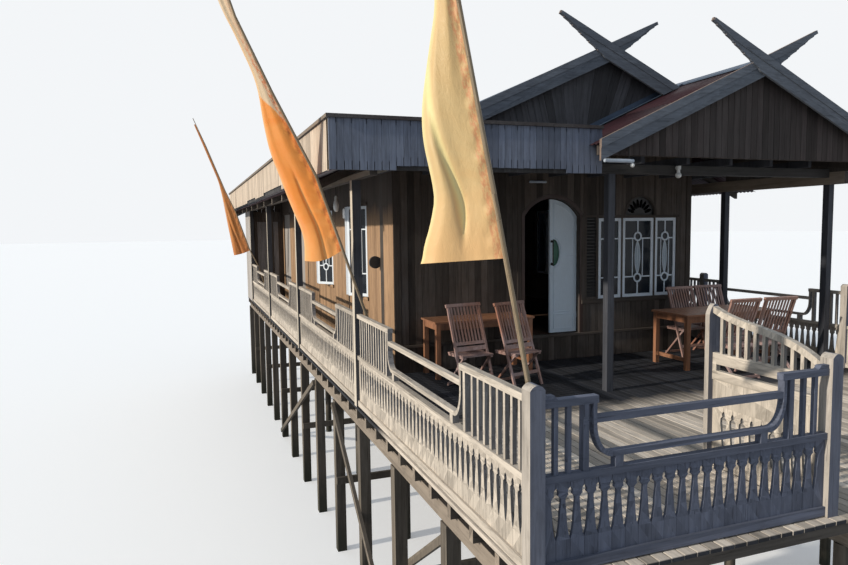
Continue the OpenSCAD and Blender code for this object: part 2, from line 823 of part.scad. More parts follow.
// A slat bent from upright to level, outwards from its left edge at 0
module bent_slat() {
    outer = quarter(curve_w, curve_h);
    inner = quarter(curve_w - curve_t, curve_h - saddle_t);
    translate([curve_w, saddle_z0 + curve_h])
        polygon(concat(outer, [for (i = [len(inner) - 1 : -1 : 0]) inner[i]]));
}

// The dip between two raised parts that end at u0 and u1: bent slats, a low rail on blocks and a bar
module saddle(u0, u1, h) {
    a = u0 - 10 - curve_t;
    b = u1 + 10 + curve_t;
    bar_z = h - bar_drop;
    plate(rail_t) {
        translate([a, 0]) bent_slat();
        translate([b, 0]) mirror([1, 0]) bent_slat();
        rect(a + curve_w - 1, b - curve_w + 1, saddle_z0, saddle_z0 + saddle_t);
        for (u = [a, b - curve_t]) rect(u, u + curve_t, saddle_z0 + curve_h - 1, h - 1);
        for (u = [a + curve_w + 20, b - curve_w - 75])
            rect(u, u + 55, mid_rail_z1 - 1, saddle_z0 + 1);
    }
    plate(bar_w) rect(a + curve_t - 5, b - curve_t + 5, bar_z - bar_w / 2, bar_z + bar_w / 2);
}

// A whole panel of the height h: raised parts of the lengths r0 and r1 at its ends
module railing_panel(len, r0, r1, h = rail_h, stepped = false) {
    plate(60) rect(0, len, base_rail_z0, base_rail_z1);
    plate(fret_t) fret_boards(len, base_rail_z1 - 5, mid_rail_z0 + 5);
    plate(rail_t + 4) rect(0, len, mid_rail_z0, mid_rail_z1);
    raised_part(r0, h, stepped);
    translate([len, 0, 0]) mirror([1, 0, 0]) raised_part(r1, h, stepped);
    saddle(r0, len - r1, h);
}

module river_railing() {
    half = veranda_post_w / 2;
    color("navajowhite") placed() rotate(90) {
        translate([post_w / 2, 0, 0]) railing_panel(bay - half - post_w / 2, 950, 1165);
        for (i = [1 : river_bays - 1])
            translate([i * bay + half, 0, 0]) railing_panel(bay - 2 * half, 1010, 1190);
    }
}

front_len = 2134;

module front_railing() {
    color("slategray") placed() for (x = [0, 2 * mid_x]) translate([x, 0, 0])
        mirror([x == 0 ? 0 : 1, 0, 0]) translate([post_w / 2, 0, 0])
            railing_panel(front_len, 358, 400, front_rail_h, true);
}

side_x = post_w + front_len;
side_len = 980;
side_post_h = 1320;

// Height of the curved hand rail of the side panel at u, from the corner post
function ogee_z(u) = 1020 + 640 * (u / side_len) - 850 * pow(u / side_len, 2) + 490 * pow(u / side_len, 3);

module side_railing() {
    n = 11;
    step = side_len / (n + 1);
    color("navajowhite") placed() for (x = [side_x, 2 * mid_x - side_x])
        translate([x, post_w / 2, 0]) rotate(90) {
        plate(60) rect(0, side_len, base_rail_z0, base_rail_z1);
        plate(fret_t) fret_boards(side_len, base_rail_z1 - 5, 510);
        plate(26) rect(0, side_len, 500, 720);
        plate(44) rect(0, side_len, 710, 785);
        plate(40) rect(0, side_len, 838, 928);
        plate(rail_t) polygon(concat([for (i = [0 : 24]) [i * side_len / 24, ogee_z(i * side_len / 24)]],
            [for (i = [24 : -1 : 0]) [i * side_len / 24, ogee_z(i * side_len / 24) - 52]]));
        for (i = [1 : n])
            slab(i * step - baluster_w / 2, i * step + baluster_w / 2, -baluster_w / 2,
                baluster_w / 2, 920, ogee_z(i * step) - 40);
        for (u = [0, side_len - 40]) plate(40) rect(u, u + 40, 780, 843);
    }
}

land_posts = [3250, 5850, 8450, 11050, 13650];
land_rail_x = 2 * mid_x;

module land_railing() {
    color("slategray") placed() translate([land_rail_x, 0, 0]) rotate(90) {
        translate([post_w / 2, 0, 0]) railing_panel(land_posts[0] - post_w, 910, 610);
        for (i = [0 : 3])
            translate([land_posts[i] + post_w / 2, 0, 0])
                railing_panel(land_posts[i + 1] - land_posts[i] - post_w, 510, 460);
        translate([land_posts[4] + post_w / 2, 0, 0])
            railing_panel(veranda_end + 40 - land_posts[4] - post_w / 2, 510, 460);
    }
}

// Posts of the railings: their tops are rounded along the railing, falling by drop at the edges
back_post_w = 120;
back_post_d = 45;

module rail_post(x, y, h, w = post_w, d = post_w, drop = 30) {
    arch_h = 3.52 * drop;
    arch_w = 0.716 * w;
    translate([x, y, 0]) intersection() {
        translate([-w / 2, -d / 2, 0]) cube([w, d, h]);
        translate([0, 0, h - arch_h]) rotate([90, 0, 0])
            translate([0, 0, -post_w]) linear_extrude(2 * post_w)
                union() {
                    scale([1, arch_h / arch_w]) circle(r = arch_w, $fn = 64);
                    translate([-100, -h]) square([200, h + 20]);
                }
    }
}

module railing_posts() {
    color("gainsboro") placed() {
        rail_post(0, 0, 1100);
        for (x = [side_x, 2 * mid_x - side_x]) {
            rail_post(x, 0, 1100);
            rail_post(x, post_w / 2 + side_len + back_post_d / 2, side_post_h, back_post_w,
                back_post_d, 85);
        }
        rail_post(land_rail_x, 0, 1100);
        for (y = land_posts) rail_post(land_rail_x, y, 1130);
    }
}

lamp_x = 3815;
lamp_y = porch_post_y - 82;
lamp_z = plate_h - 8;

module porch_lamp() {
    color("white") placed() {
        slab(lamp_x - 12, lamp_x + 12, lamp_y, porch_post_y - 40, lamp_z - 30, lamp_z - 8);
        translate([lamp_x, lamp_y, 0]) {
            translate([0, 0, lamp_z - 45]) cylinder(h = 45, r = 30, $fn = 32);
            translate([0, 0, lamp_z - 80]) cylinder(h = 36, r = 20, $fn = 32);
            translate([0, 0, lamp_z - 108]) sphere(r = 36, $fn = 32);
        }
    }
}

// Banner poles of bamboo and their long pointed cloths
module leaning(i) { translate([0, pole_y[i], 0]) rotate([pole_lean[i], 0, 0]) children(); }

// A tapered rod between two points given as X, Z and radius, lengthened by lap at each end
module rod(a, b, lap_a, lap_b) {
    dx = b[0] - a[0];
    dz = b[1] - a[1];
    translate([a[0], 0, a[1]]) rotate([0, atan2(dx, dz), 0]) translate([0, 0, -lap_a])
        cylinder(h = norm([dx, dz]) + lap_a + lap_b, r1 = a[2], r2 = b[2], $fn = 12);
}

module pole(path) {
    last = len(path) - 2;
    intersection() {
        for (i = [0 : last])
            rod(path[i], path[i + 1], i == 0 ? 20 : 4, i == last ? 0 : 4);
        translate([-3000, -200, 6]) cube([6000, 400, 6000]);
    }
}

module banner_poles() {
    color("wheat") placed() {
        leaning(0) pole(pole_1);
        leaning(1) pole(pole_2);
        leaning(2) pole(pole_3);
    }
}

// Cloth edge along a pole, from the height z0 up to z1
function pole_x(path, z) = lookup(z, [for (p = path) [p[1], p[0]]]);
function pole_edge(path, z0, z1) =
    [for (i = [0 : 8]) [pole_x(path, z0 + i * (z1 - z0) / 8) - 24, z0 + i * (z1 - z0) / 8]];

module cloth(path, z0, z1, free) {
    upright(-5, 10) polygon(concat(pole_edge(path, z0, z1), free));
}

module banners() {
    color("orange") placed() {
        leaning(0) cloth(pole_1, 1780, 4600, [[-790, 4600], [-625, 3950], [-475, 3150], [-510, 2940],
            [-560, 2590], [-560, 2490], [-540, 2350], [-490, 2190], [-480, 2030], [-530, 1950],
            [-550, 1810], [-560, 1760], [-350, 1760]]);
        leaning(1) cloth(pole_2, 1790, 4650, [[-1540, 4650], [-1320, 3970], [-1225, 3790],
            [-1210, 3690], [-1120, 3520], [-1060, 3330], [-1030, 3110], [-960, 2780], [-880, 2590],
            [-790, 2350], [-690, 2110], [-615, 1940], [-610, 1690], [-430, 1670], [-320, 1740]]);
        leaning(2) cloth(pole_3, 1450, 4650, [[-1420, 4650], [-1210, 4120], [-880, 3260],
            [-800, 2890], [-680, 2150], [-540, 1330]]);
    }
}

// Garden tables and folding chairs on the porch
module table(x0, x1, y0, y1) {
    top = 750;
    slab(x0, x1, y0, y1, top - 25, top);
    for (x = [x0 + 20, x1 - 80], y = [y0 + 20, y1 - 80]) slab(x, x + 60, y, y + 60, 0, top - 20);
    for (y = [y0 + 30, y1 - 55]) slab(x0 + 60, x1 - 60, y, y + 25, top - 110, top - 20);
    for (x = [x0 + 30, x1 - 55]) slab(x, x + 25, y0 + 60, y1 - 60, top - 110, top - 20);
    for (x = [x0 + 35, x1 - 65]) slab(x, x + 30, y0 + 60, y1 - 60, 110, 160);
}

module tables() {
    color("peru") placed() {
        table(1210, 2640, 4690, 5240);
        table(4480, 5980, 3880, 4600);
    }
}

// A folding chair that faces -Y, on its spot and turned by a
module chair(x, y, a) {
    w = 235;
    translate([x, y, 0]) rotate(a) {
        intersection() {
            translate([0, -210, 0]) rotate([-20, 0, 0]) {
                for (u = [-w, w - 30]) slab(u, u + 30, -12, 13, -40, 1055);
                slab(-w - 12, w + 12, -16, 16, 1040, 1080);
                slab(-w + 28, w - 28, -10, 10, 560, 600);
                slab(-w + 28, w - 28, -10, 10, 485, 540);
                slab(-w + 28, w - 28, -10, 10, 150, 190);
                for (i = [0 : 8])
                    slab(-w + 47 + i * 46, -w + 69 + i * 46, -6, 6, 590, 1045);
            }
            translate([-400, -500, 0]) cube([800, 1200, 1200]);
        }
        intersection() {
            translate([0, 200, 0]) rotate([43, 0, 0])
                for (u = [-w + 32, w - 60]) slab(u, u + 28, -12, 12, -40, 560);
            translate([-400, -500, 0]) cube([800, 1200, 1200]);
        }
        for (i = [0 : 5]) slab(-w + 25, w - 25, -210 + i * 66, -156 + i * 66, 408, 426);
        for (u = [-w + 31, w - 61]) slab(u, u + 30, -205, 170, 385, 410);
        slab(-w + 31, w - 31, 180, 200, 10, 40);
    }
}

module chairs() {
    color("sienna") placed() {
        chair(1480, 4230, 8);
        chair(2090, 4150, 15);
        chair(5300, 4830, 0);
        chair(5840, 4850, -4);
        chair(4850, 3420, 180);
        chair(5420, 3400, 174);
    }
}

stilts();
stilt_braces();
bearers();
deck_joists();
porch_deck();
veranda_decks();
floor_bearers();
house_floor();
front_wall_left();
front_wall_over_door();
front_wall_right();
door_threshold();
river_wall();
land_wall();
back_wall();
end_bay_walls();
door_frame();
door_leaf_left();
door_leaf_right();
door_glass_left();
door_glass_right();
window_sashes();
window_glass();
vent_panels();
wall_shutters();
wall_disc();
roof_posts();
eave_beams();
porch_beam();
ceiling_joists();
rafters();
ridge_board();
main_roof_river();
main_roof_land();
porch_roof_left();
porch_roof_right();
lean_roof();
ridge_caps();
gable_walls();
bargeboards();
river_fascia();
front_fascia();
land_fascia();
fascia_caps();
railing_posts();
river_railing();
front_railing();
side_railing();
land_railing();
porch_lamp();
banner_poles();
banners();
tables();
chairs();
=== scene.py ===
import math
import random

import bpy
from mathutils import Matrix, Vector


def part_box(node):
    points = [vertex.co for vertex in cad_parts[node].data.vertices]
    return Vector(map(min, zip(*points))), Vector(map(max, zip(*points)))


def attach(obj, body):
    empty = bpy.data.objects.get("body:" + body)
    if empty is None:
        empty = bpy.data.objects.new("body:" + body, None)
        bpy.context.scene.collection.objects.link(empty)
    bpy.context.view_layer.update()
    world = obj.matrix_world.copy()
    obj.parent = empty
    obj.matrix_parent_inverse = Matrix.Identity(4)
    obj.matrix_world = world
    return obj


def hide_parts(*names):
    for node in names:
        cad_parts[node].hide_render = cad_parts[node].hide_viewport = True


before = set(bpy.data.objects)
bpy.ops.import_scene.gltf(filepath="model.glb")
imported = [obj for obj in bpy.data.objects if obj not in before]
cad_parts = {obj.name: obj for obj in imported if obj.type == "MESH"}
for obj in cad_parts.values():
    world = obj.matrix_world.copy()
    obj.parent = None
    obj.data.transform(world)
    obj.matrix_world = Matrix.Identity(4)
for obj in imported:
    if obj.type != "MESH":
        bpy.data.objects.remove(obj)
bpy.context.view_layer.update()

# A timber stilt house. Lengths are in metres in the house's own frame, which has its zero at the
# near corner post on top of the deck: x along the front railing, y along the river veranda, z up.

CORNER_POST = 0.095
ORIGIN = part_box("railing_posts")[0] + Vector((CORNER_POST / 2, CORNER_POST / 2, 0))
UP = Vector((0, 0, 1))


def house_box(node):
    low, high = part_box(node)
    return low - ORIGIN, high - ORIGIN


# Lines of the plan, from the frame
deck_low, deck_high = house_box("porch_deck")
wall_low, wall_high = house_box("river_wall")
threshold_low, threshold_high = house_box("door_threshold")
fascia_low, fascia_high = house_box("river_fascia")
front_fascia_low, front_fascia_high = house_box("front_fascia")
land_fascia_low, land_fascia_high = house_box("land_fascia")
end_low, end_high = house_box("end_bay_walls")
ridge_low, ridge_high = house_box("main_roof_river")
porch_low, porch_high = house_box("porch_roof_right")

THRESHOLD_LIP = 0.008
DECK_T = deck_high.z - deck_low.z
WALL_T = wall_high.x - wall_low.x
FRONT_Y = threshold_low.y
BACK_Y = wall_high.y + WALL_T
HOUSE_X0, HOUSE_X1 = wall_low.x, house_box("land_wall")[1].x
MID_X = (HOUSE_X0 + HOUSE_X1) / 2
FLOOR_Z = threshold_high.z - THRESHOLD_LIP
DOOR_X0, DOOR_X1 = threshold_low.x, threshold_high.x
DOOR_X = (DOOR_X0 + DOOR_X1) / 2
PITCH = math.radians(24.5)
TAN_P, COS_P, SIN_P = math.tan(PITCH), math.cos(PITCH), math.sin(PITCH)
SHEET_T = 0.025
RIDGE_Z = ridge_high.z
PORCH_X, PORCH_Z = porch_low.x, porch_high.z
PORCH_HALF = porch_high.x - porch_low.x
VALLEY_X = (RIDGE_Z - PORCH_Z) / (2 * TAN_P) + (MID_X + PORCH_X) / 2
VERGE = 0.05
GABLE_Y = ridge_low.y + VERGE


# Materials

class Shader:
    """The nodes of a material or world, added one after another."""

    def __init__(self, name="", world=None):
        self.material = world or bpy.data.materials.new(name)
        self.material.use_nodes = True
        self.tree = self.material.node_tree
        self.surface = self.tree.nodes.get("Principled BSDF")

    def put(self, socket, value):
        if isinstance(value, bpy.types.NodeSocket):
            self.tree.links.new(value, socket)
        elif value is not None:
            if socket.type == "RGBA" and len(value) == 3:
                value = (*value, 1)
            socket.default_value = value

    def add(self, kind, inputs=(), **settings):
        node = self.tree.nodes.new("ShaderNode" + kind)
        for key, value in settings.items():
            setattr(node, key, value)
        for key, value in dict(inputs).items():
            self.put(node.inputs[key], value)
        return node

    def math(self, operation, a, b=None):
        node = self.add("Math", operation=operation)
        self.put(node.inputs[0], a)
        self.put(node.inputs[1], b)
        return node.outputs[0]

    def plus(self, a, b):
        return self.math("ADD", a, b)

    def less(self, a, b):
        return self.math("SUBTRACT", a, b)

    def times(self, a, b):
        return self.math("MULTIPLY", a, b)

    def vector(self, operation, a, b):
        return self.add("VectorMath", {0: a, 1: b}, operation=operation).outputs[0]

    def stretch(self, place, *scale):
        return self.vector("MULTIPLY", place, scale)

    def along(self, place, share):
        """Coordinates that are drawn out along the grain."""
        return self.stretch(place, 1.0, share, 1.0)

    def where(self):
        return self.add("TexCoord").outputs["Object"]

    def axis(self, place, index):
        return self.add("SeparateXYZ", {0: place}).outputs[index]

    def mix(self, share, a, b, blend="MIX"):
        node = self.add("Mix", data_type="RGBA", blend_type=blend)
        for index, value in ((0, share), (6, a), (7, b)):
            self.put(node.inputs[index], value)
        return node.outputs[2]

    def range(self, value, low, high, to_low=0.0, to_high=1.0):
        return self.add("MapRange", {"Value": value, "From Min": low, "From Max": high,
                                     "To Min": to_low, "To Max": to_high}).outputs[0]

    def noise(self, place, scale, detail=4.0, roughness=0.6, distortion=0.0):
        return self.add("TexNoise", {"Vector": place, "Scale": scale, "Detail": detail,
                                     "Roughness": roughness, "Distortion": distortion}).outputs["Fac"]

    def ramp(self, value, *stops):
        node = self.add("ValToRGB", {"Fac": value})
        elements = node.color_ramp.elements
        while len(elements) < len(stops):
            elements.new(0.5)
        for element, (position, colour) in zip(elements, stops):
            element.position = position
            element.color = (*colour, 1)
        return node.outputs["Color"]

    def bump(self, height, distance):
        return self.add("Bump", {"Height": height, "Distance": distance, "Strength": 1.0}).outputs[0]

    def seen(self):
        """1 on rays from the camera, and on those that gloss and glass send on."""
        rays = self.add("LightPath").outputs
        sent_on = self.math("MAXIMUM", rays["Is Glossy Ray"], rays["Is Transmission Ray"])
        return self.math("MAXIMUM", rays["Is Camera Ray"], sent_on)

    def finish(self, **inputs):
        for key, value in inputs.items():
            self.put(self.surface.inputs[key.replace("_", " ")], value)
        return self.material

    def grain(self, direction, rails=None):
        """Coordinates whose y runs along the grain, and a random value for each board. rails is an
        axis and the height bands in which the grain runs along that axis."""
        if direction == "board":
            place = self.add("UVMap", uv_map="grain").outputs[0]
            return place, self.add("Attribute", attribute_name="tone").outputs["Fac"]
        split = self.add("SeparateXYZ", {0: self.where()})

        def turned(axis):
            order = {"x": (1, 0, 2), "y": (0, 1, 2), "z": (0, 2, 1)}[axis]
            return self.add("CombineXYZ", {i: split.outputs[k] for i, k in enumerate(order)}).outputs[0]

        place = turned(direction)
        if rails:
            axis, bands = rails
            inside = 0.0
            for low, high in bands:
                compare = {0: split.outputs[2], 1: ORIGIN.z + (low + high) / 2, 2: (high - low) / 2}
                inside = self.plus(self.add("Math", compare, operation="COMPARE").outputs[0], inside)
            place = self.mix(inside, place, turned(axis))
        tone = self.add("NewGeometry").outputs["Random Per Island"]
        shift = self.add("CombineXYZ", {i: self.times(tone, k) for i, k in enumerate((17, 29, 7))})
        return self.vector("ADD", place, shift.outputs[0]), tone


def shade(colour, share):
    return tuple(c * share for c in colour)


def blend(a, b, share):
    return tuple(x + (y - x) * share for x, y in zip(a, b))


# RIVER_SUN is the direction of the low sun over the river, for the painted sunlight of wood()
RIVER_SUN = Vector((-0.90, 0, 0.43))
DAMP = (0.030, 0.027, 0.026)
WATER_STAIN = (0.022, 0.026, 0.018)
FACING_WIDTH = 0.2


def wood(name, colour, direction="board", aged=(0.20, 0.20, 0.20), age=0.35, sunlit_bleached=None, sun=0.0,
         spread=0.30, rough=0.78, relief=1.0, split=0.35, foot=None, rails=None, facing=0.45,
         shaded_beyond=None, stain=0.35, gloss=0.22):
    """Weathered timber. age turns patches to the aged colour. sunlit_bleached is the colour of the
    faces that look towards the river and the low sun, from `facing` on, and sun is how much of it
    they take: partly bleaching of the wood and partly painted sunlight. foot is (height, depth) below
    which the timber is stained by water. shaded_beyond is (axis, full, none): the painted sunlight is
    full up to one place along the axis and fades away by the other, as painted shade beyond it.
    stain is the strength of dark damp patches, split that of the cracks, and spread how much the
    boards differ."""
    s = Shader(name)
    place, tone = s.grain(direction, rails)
    streak = s.noise(s.along(place, 0.055), 26, 5, 0.62, 0.6)
    fibre = s.noise(s.along(place, 0.02), 240, 3, 0.7)
    figure = s.plus(s.times(streak, 0.72), s.times(fibre, 0.28))
    base = s.ramp(figure, (0.28, shade(colour, 0.42)), (0.46, shade(colour, 0.86)),
                  (0.60, colour), (0.76, shade(colour, 1.35)))
    world = s.where()
    patch = s.range(s.noise(world, 1.3, 4, 0.65), 0.36, 0.64)
    base = s.mix(s.times(patch, age), base,
                 s.ramp(figure, (0.30, shade(aged, 0.55)), (0.70, shade(aged, 1.2))))
    # Painted sunlight, partly bleaching: faces turned towards RIVER_SUN take the sunlit colour
    if sunlit_bleached:
        normal = s.add("NewGeometry").outputs["Normal"]
        towards = s.add("VectorMath", {0: normal, 1: RIVER_SUN}, operation="DOT_PRODUCT").outputs["Value"]
        lit = s.times(s.range(towards, facing, facing + FACING_WIDTH), sun)
        # Painted shade: the painted sunlight fades out along an axis
        if shaded_beyond:
            axis, full, none = shaded_beyond
            ragged = s.plus(s.axis(world, axis), s.times(s.less(tone, 0.5), 0.12))
            lit = s.times(lit, s.range(ragged, ORIGIN[axis] + full, ORIGIN[axis] + none, 1, 0))
        sunlit_colour = s.ramp(figure, (0.26, shade(sunlit_bleached, 0.55)), (0.50, sunlit_bleached), (0.74, shade(sunlit_bleached, 1.2)))
        base = s.mix(lit, base, sunlit_colour)
    damp = s.range(s.noise(s.along(place, 0.30), 8, 5, 0.72, 0.8), 0.46, 0.66)
    base = s.mix(s.times(damp, stain), base, s.mix(0.62, base, DAMP))
    bright = s.range(tone, 0.0, 1.0, 1 - spread, 1 + spread * 0.8)
    base = s.mix(1.0, base, s.add("CombineColor", {i: bright for i in range(3)}).outputs[0], "MULTIPLY")
    crack = s.range(s.noise(s.along(place, 0.035), 75, 2, 0.5, 0.4), 0.66, 0.72)
    base = s.mix(s.times(crack, split), base, shade(colour, 0.16))
    if foot:
        height, depth = foot
        ragged = s.plus(s.axis(world, 2), s.times(s.noise(world, 9, 3), 0.4 * depth))
        wet = s.range(ragged, height, height + depth, 1, 0)
        base = s.mix(s.times(wet, 0.75), base, WATER_STAIN)
    return s.finish(Base_Color=base, Roughness=s.range(figure, 0.3, 0.8, rough + 0.08, rough - 0.1),
                    Normal=s.bump(s.less(figure, s.times(crack, 0.8)), 0.0022 * relief),
                    Specular_IOR_Level=gloss)


def painted(name, colour, wear=0.35, dirt=0.25):
    """Painted timber with faint brush marks, dirt in patches and paint that has gone in places."""
    worn = (0.16, 0.14, 0.12)
    s = Shader(name)
    world = s.where()
    brush = s.noise(s.along(s.grain("z")[0], 0.04), 160, 3)
    soil = s.range(s.noise(world, 3.2, 5, 0.7), 0.42, 0.72)
    chips = s.range(s.noise(world, 34, 5, 0.75, 0.3), 0.64, 0.70)
    base = s.mix(s.times(soil, dirt), s.ramp(brush, (0.3, shade(colour, 0.93)), (0.7, colour)),
                 shade(blend(colour, worn, 0.5), 0.8))
    return s.finish(Base_Color=s.mix(s.times(chips, wear), base, worn), Specular_IOR_Level=0.35,
                    Roughness=s.range(soil, 0, 1, 0.45, 0.65), Normal=s.bump(s.less(brush, chips), 0.0006))


def sheet_metal(name, colour, pale, rust=(0.10, 0.045, 0.028)):
    """Painted roofing: chalky streaks down the slope, dust, and rust in spots."""
    s = Shader(name)
    world = s.where()
    streak = s.noise(s.stretch(world, 0.22, 1.0, 0.5), 9, 5, 0.7)
    blotch = s.noise(world, 1.4, 5, 0.7)
    spot = s.range(s.noise(world, 22, 5, 0.8), 0.60, 0.70)
    base = s.ramp(streak, (0.3, shade(colour, 0.7)), (0.55, colour), (0.75, shade(colour, 1.3)))
    base = s.mix(s.range(blotch, 0.45, 0.75, 0, 0.45), base, pale)
    return s.finish(Base_Color=s.mix(s.times(spot, 0.6), base, rust), Specular_IOR_Level=0.10,
                    Roughness=s.range(blotch, 0.3, 0.7, 0.42, 0.72),
                    Normal=s.bump(s.noise(world, 70, 3), 0.0006))


def glass(name, colour, clear, rough=0.06):
    """Old pane glass with dust in patches."""
    s = Shader(name)
    world = s.where()
    return s.finish(Base_Color=s.ramp(s.noise(world, 2.5), (0.3, colour), (0.7, shade(colour, 0.8))),
                    Transmission_Weight=clear, Specular_IOR_Level=0.12,
                    Roughness=s.range(s.noise(world, 5, 4), 0.4, 0.8, rough, rough + 0.22),
                    Normal=s.bump(s.noise(world, 3.0, 2), 0.002))


def plain(name, colour, rough, grit=0.0004, metal=0.0, mottle=0.3):
    """Plastic, iron or glazed ceramic with a faint mottle."""
    s = Shader(name)
    world = s.where()
    speck = s.noise(world, 40, 5, 0.7)
    tones = (0.3, shade(colour, 1 - mottle)), (0.7, shade(colour, 1 + mottle))
    return s.finish(Base_Color=s.ramp(speck, *tones), Metallic=metal,
                    Roughness=s.range(speck, 0.3, 0.7, rough, rough + 0.15),
                    Normal=s.bump(s.noise(world, 180, 3), grit))


THREAD = 0.0022


def cloth(name, colour, deep, sleeve, low, sleeve_w, upper=None, painted_highlight=None):
    """Thin satin: fine ribs, tints in patches, a sleeve along the pole and a deeper tint at the foot.
    The grain map holds the distance from the pole and the height up the cloth, and the fold value
    is 1 on the crest of a fold and along the free edge below its top quarter, where painted_highlight
    is a colour mixed in as a painted highlight. upper is (colour, height where it starts beside the
    sleeve, width that it gains per metre of height)."""
    s = Shader(name)
    place = s.add("UVMap", uv_map="grain").outputs[0]
    across, up = s.axis(place, 0), s.axis(place, 1)
    ribs = [s.math("SINE", s.times(way, 2 * math.pi / THREAD)) for way in (up, across)]
    weave = s.times(s.plus(*ribs), 0.5)
    base = s.mix(s.range(s.noise(place, 1.7, 4, 0.6, 1.2), 0.40, 0.64), colour, deep)
    ragged = s.plus(across, s.times(s.noise(place, 9, 3), 0.05))
    foot = s.range(s.plus(up, s.times(s.noise(place, 5, 3), 0.5)), 0.75, 0.30)
    base = s.mix(s.times(foot, 0.8), base, low)
    rubbed = s.range(s.noise(s.stretch(place, 2.2, 1.0, 1.0), 22, 4, 0.7), 0.44, 0.56, 1, 0.15)
    hem = s.times(s.times(s.range(ragged, sleeve_w + 0.030, sleeve_w + 0.018), 0.8), rubbed)
    if upper:
        tone, start, gain = upper
        limit = s.times(s.less(up, start), gain)
        base = s.mix(s.range(s.less(ragged, limit), 0.055, 0.035), base, tone)
        hem = s.times(hem, s.range(up, start + 0.5, start + 0.9, 1, 0.25))
    # Painted highlight on the crests of folds and along the free edge
    if painted_highlight:
        crest = s.add("Attribute", attribute_name="fold").outputs["Fac"]
        base = s.mix(s.range(crest, 0.35, 0.95, 0, 0.7), base, painted_highlight)
    crease = s.noise(s.along(place, 0.35), 30, 4, 0.62, 1.0)
    return s.finish(Base_Color=s.mix(hem, base, sleeve), Roughness=s.range(crease, 0.3, 0.7, 0.34, 0.52),
                    Normal=s.bump(s.plus(s.times(weave, 0.05), crease), 0.0035),
                    Sheen_Weight=0.3, Sheen_Roughness=0.4)


BROWN = (0.094, 0.074, 0.060)
DARK_BROWN = (0.070, 0.052, 0.042)
# Painted light and shade on the deck: its near-black bluish timber is painted shade, and up to these places
# along y its faces turned to the sun take a cream colour as painted sunlight
DECK_SUN_END = deck_low.y + 2.75
DECK_SHADE_START = deck_low.y + 3.15

deck_wood = wood("deck_wood", (0.026, 0.029, 0.037), aged=(0.038, 0.040, 0.048), age=0.5, spread=0.42,
                 sunlit_bleached=(0.68, 0.60, 0.51), sun=0.95, facing=0.2, shaded_beyond=(1, DECK_SUN_END, DECK_SHADE_START))
floor_wood = wood("floor_wood", (0.100, 0.055, 0.034), age=0.1, rough=0.5, split=0.2)
front_wood = wood("front_wood", BROWN, aged=(0.150, 0.132, 0.120), age=0.55, spread=0.5)
land_wood = wood("land_wood", DARK_BROWN, aged=(0.11, 0.10, 0.09), age=0.5, spread=0.4)
# The river wall's tan is painted sunlight, partly bleaching; it fades out between 2.02 and 2.30 m up, so the
# dark brown above is painted shadow of the eave
river_wood = wood("river_wood", DARK_BROWN, aged=(0.10, 0.085, 0.075), age=0.35,
                  sunlit_bleached=(0.42, 0.265, 0.155), sun=0.95, spread=0.26, shaded_beyond=(2, 2.02, 2.30))
gable_wood = wood("gable_wood", (0.068, 0.067, 0.073), aged=(0.118, 0.120, 0.130), age=0.5, spread=0.5)
porch_gable_wood = wood("porch_gable_wood", (0.052, 0.040, 0.038), aged=(0.075, 0.067, 0.064), age=0.5,
                        spread=0.5)
# The front eave's blue-grey is painted sky shade on timber like that of the other eaves
front_fascia_wood = wood("front_fascia_wood", (0.150, 0.172, 0.232), aged=(0.21, 0.235, 0.29), age=0.6,
                         spread=0.36, split=0.5)
# The river eave's pale colour on faces turned to the sun is painted sunlight, partly bleaching
fascia_wood = wood("fascia_wood", (0.135, 0.142, 0.160), aged=(0.19, 0.195, 0.21), age=0.6,
                   sunlit_bleached=(0.66, 0.54, 0.42), sun=0.92, spread=0.26)
# Near-black: painted shade seen through the slots of the eave boards
slot_shade_wood = wood("slot_shade_wood", (0.030, 0.028, 0.028), age=0.2)
# The end bays' paler colour on faces turned to the sun is painted sunlight, partly bleaching
pale_wood = wood("pale_wood", (0.30, 0.285, 0.29), aged=(0.22, 0.22, 0.23), age=0.5,
                 sunlit_bleached=(0.52, 0.48, 0.44), sun=0.8, spread=0.16)
roof_metal = sheet_metal("roof_metal", (0.030, 0.012, 0.016), (0.034, 0.032, 0.042), (0.050, 0.024, 0.018))
flashing_metal = sheet_metal("flashing_metal", (0.085, 0.115, 0.165), (0.13, 0.15, 0.18))

# Finishes of the CAD nodes that stay. A railing's bands are the heights of its rails
RAIL_BANDS = ((0.010, 0.070), (0.531, 0.573), (0.635, 0.669))
RIVER_BANDS = RAIL_BANDS + ((0.870, 0.914), (0.985, 1.031))
FRONT_BANDS = RAIL_BANDS + ((0.843, 0.887), (0.958, 1.004))
SIDE_BANDS = ((0.010, 0.070), (0.710, 0.786), (0.837, 0.929))
# The beams' sunlit colour is painted sunlight, partly bleaching
BEAM_SUNNY = (0.34, 0.28, 0.22)


def dress(material, names):
    for name in names.split():
        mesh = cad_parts[name].data
        mesh.materials.clear()
        mesh.materials.append(material)
    return material


# Each sunlit_bleached colour below is painted sunlight on the faces turned to the river, partly bleaching
dress(wood("stilt_wood", (0.105, 0.090, 0.074), "z", aged=(0.13, 0.12, 0.11), sunlit_bleached=(0.22, 0.185, 0.145),
           sun=0.7, foot=(0.25, 0.5), spread=0.3), "stilts stilt_braces")
dress(wood("joist_wood", (0.105, 0.090, 0.076), "x", aged=(0.15, 0.14, 0.13), sunlit_bleached=BEAM_SUNNY,
           sun=0.8, spread=0.3), "deck_joists floor_bearers")
dress(wood("beam_wood", (0.080, 0.068, 0.060), "y", aged=(0.12, 0.11, 0.105), sunlit_bleached=BEAM_SUNNY,
           sun=0.8, spread=0.25), "bearers eave_beams rafters ridge_board")
dress(wood("cross_wood", (0.066, 0.062, 0.060), "x", aged=(0.09, 0.09, 0.09), sunlit_bleached=(0.36, 0.30, 0.24),
           sun=0.85, spread=0.2), "porch_beam")
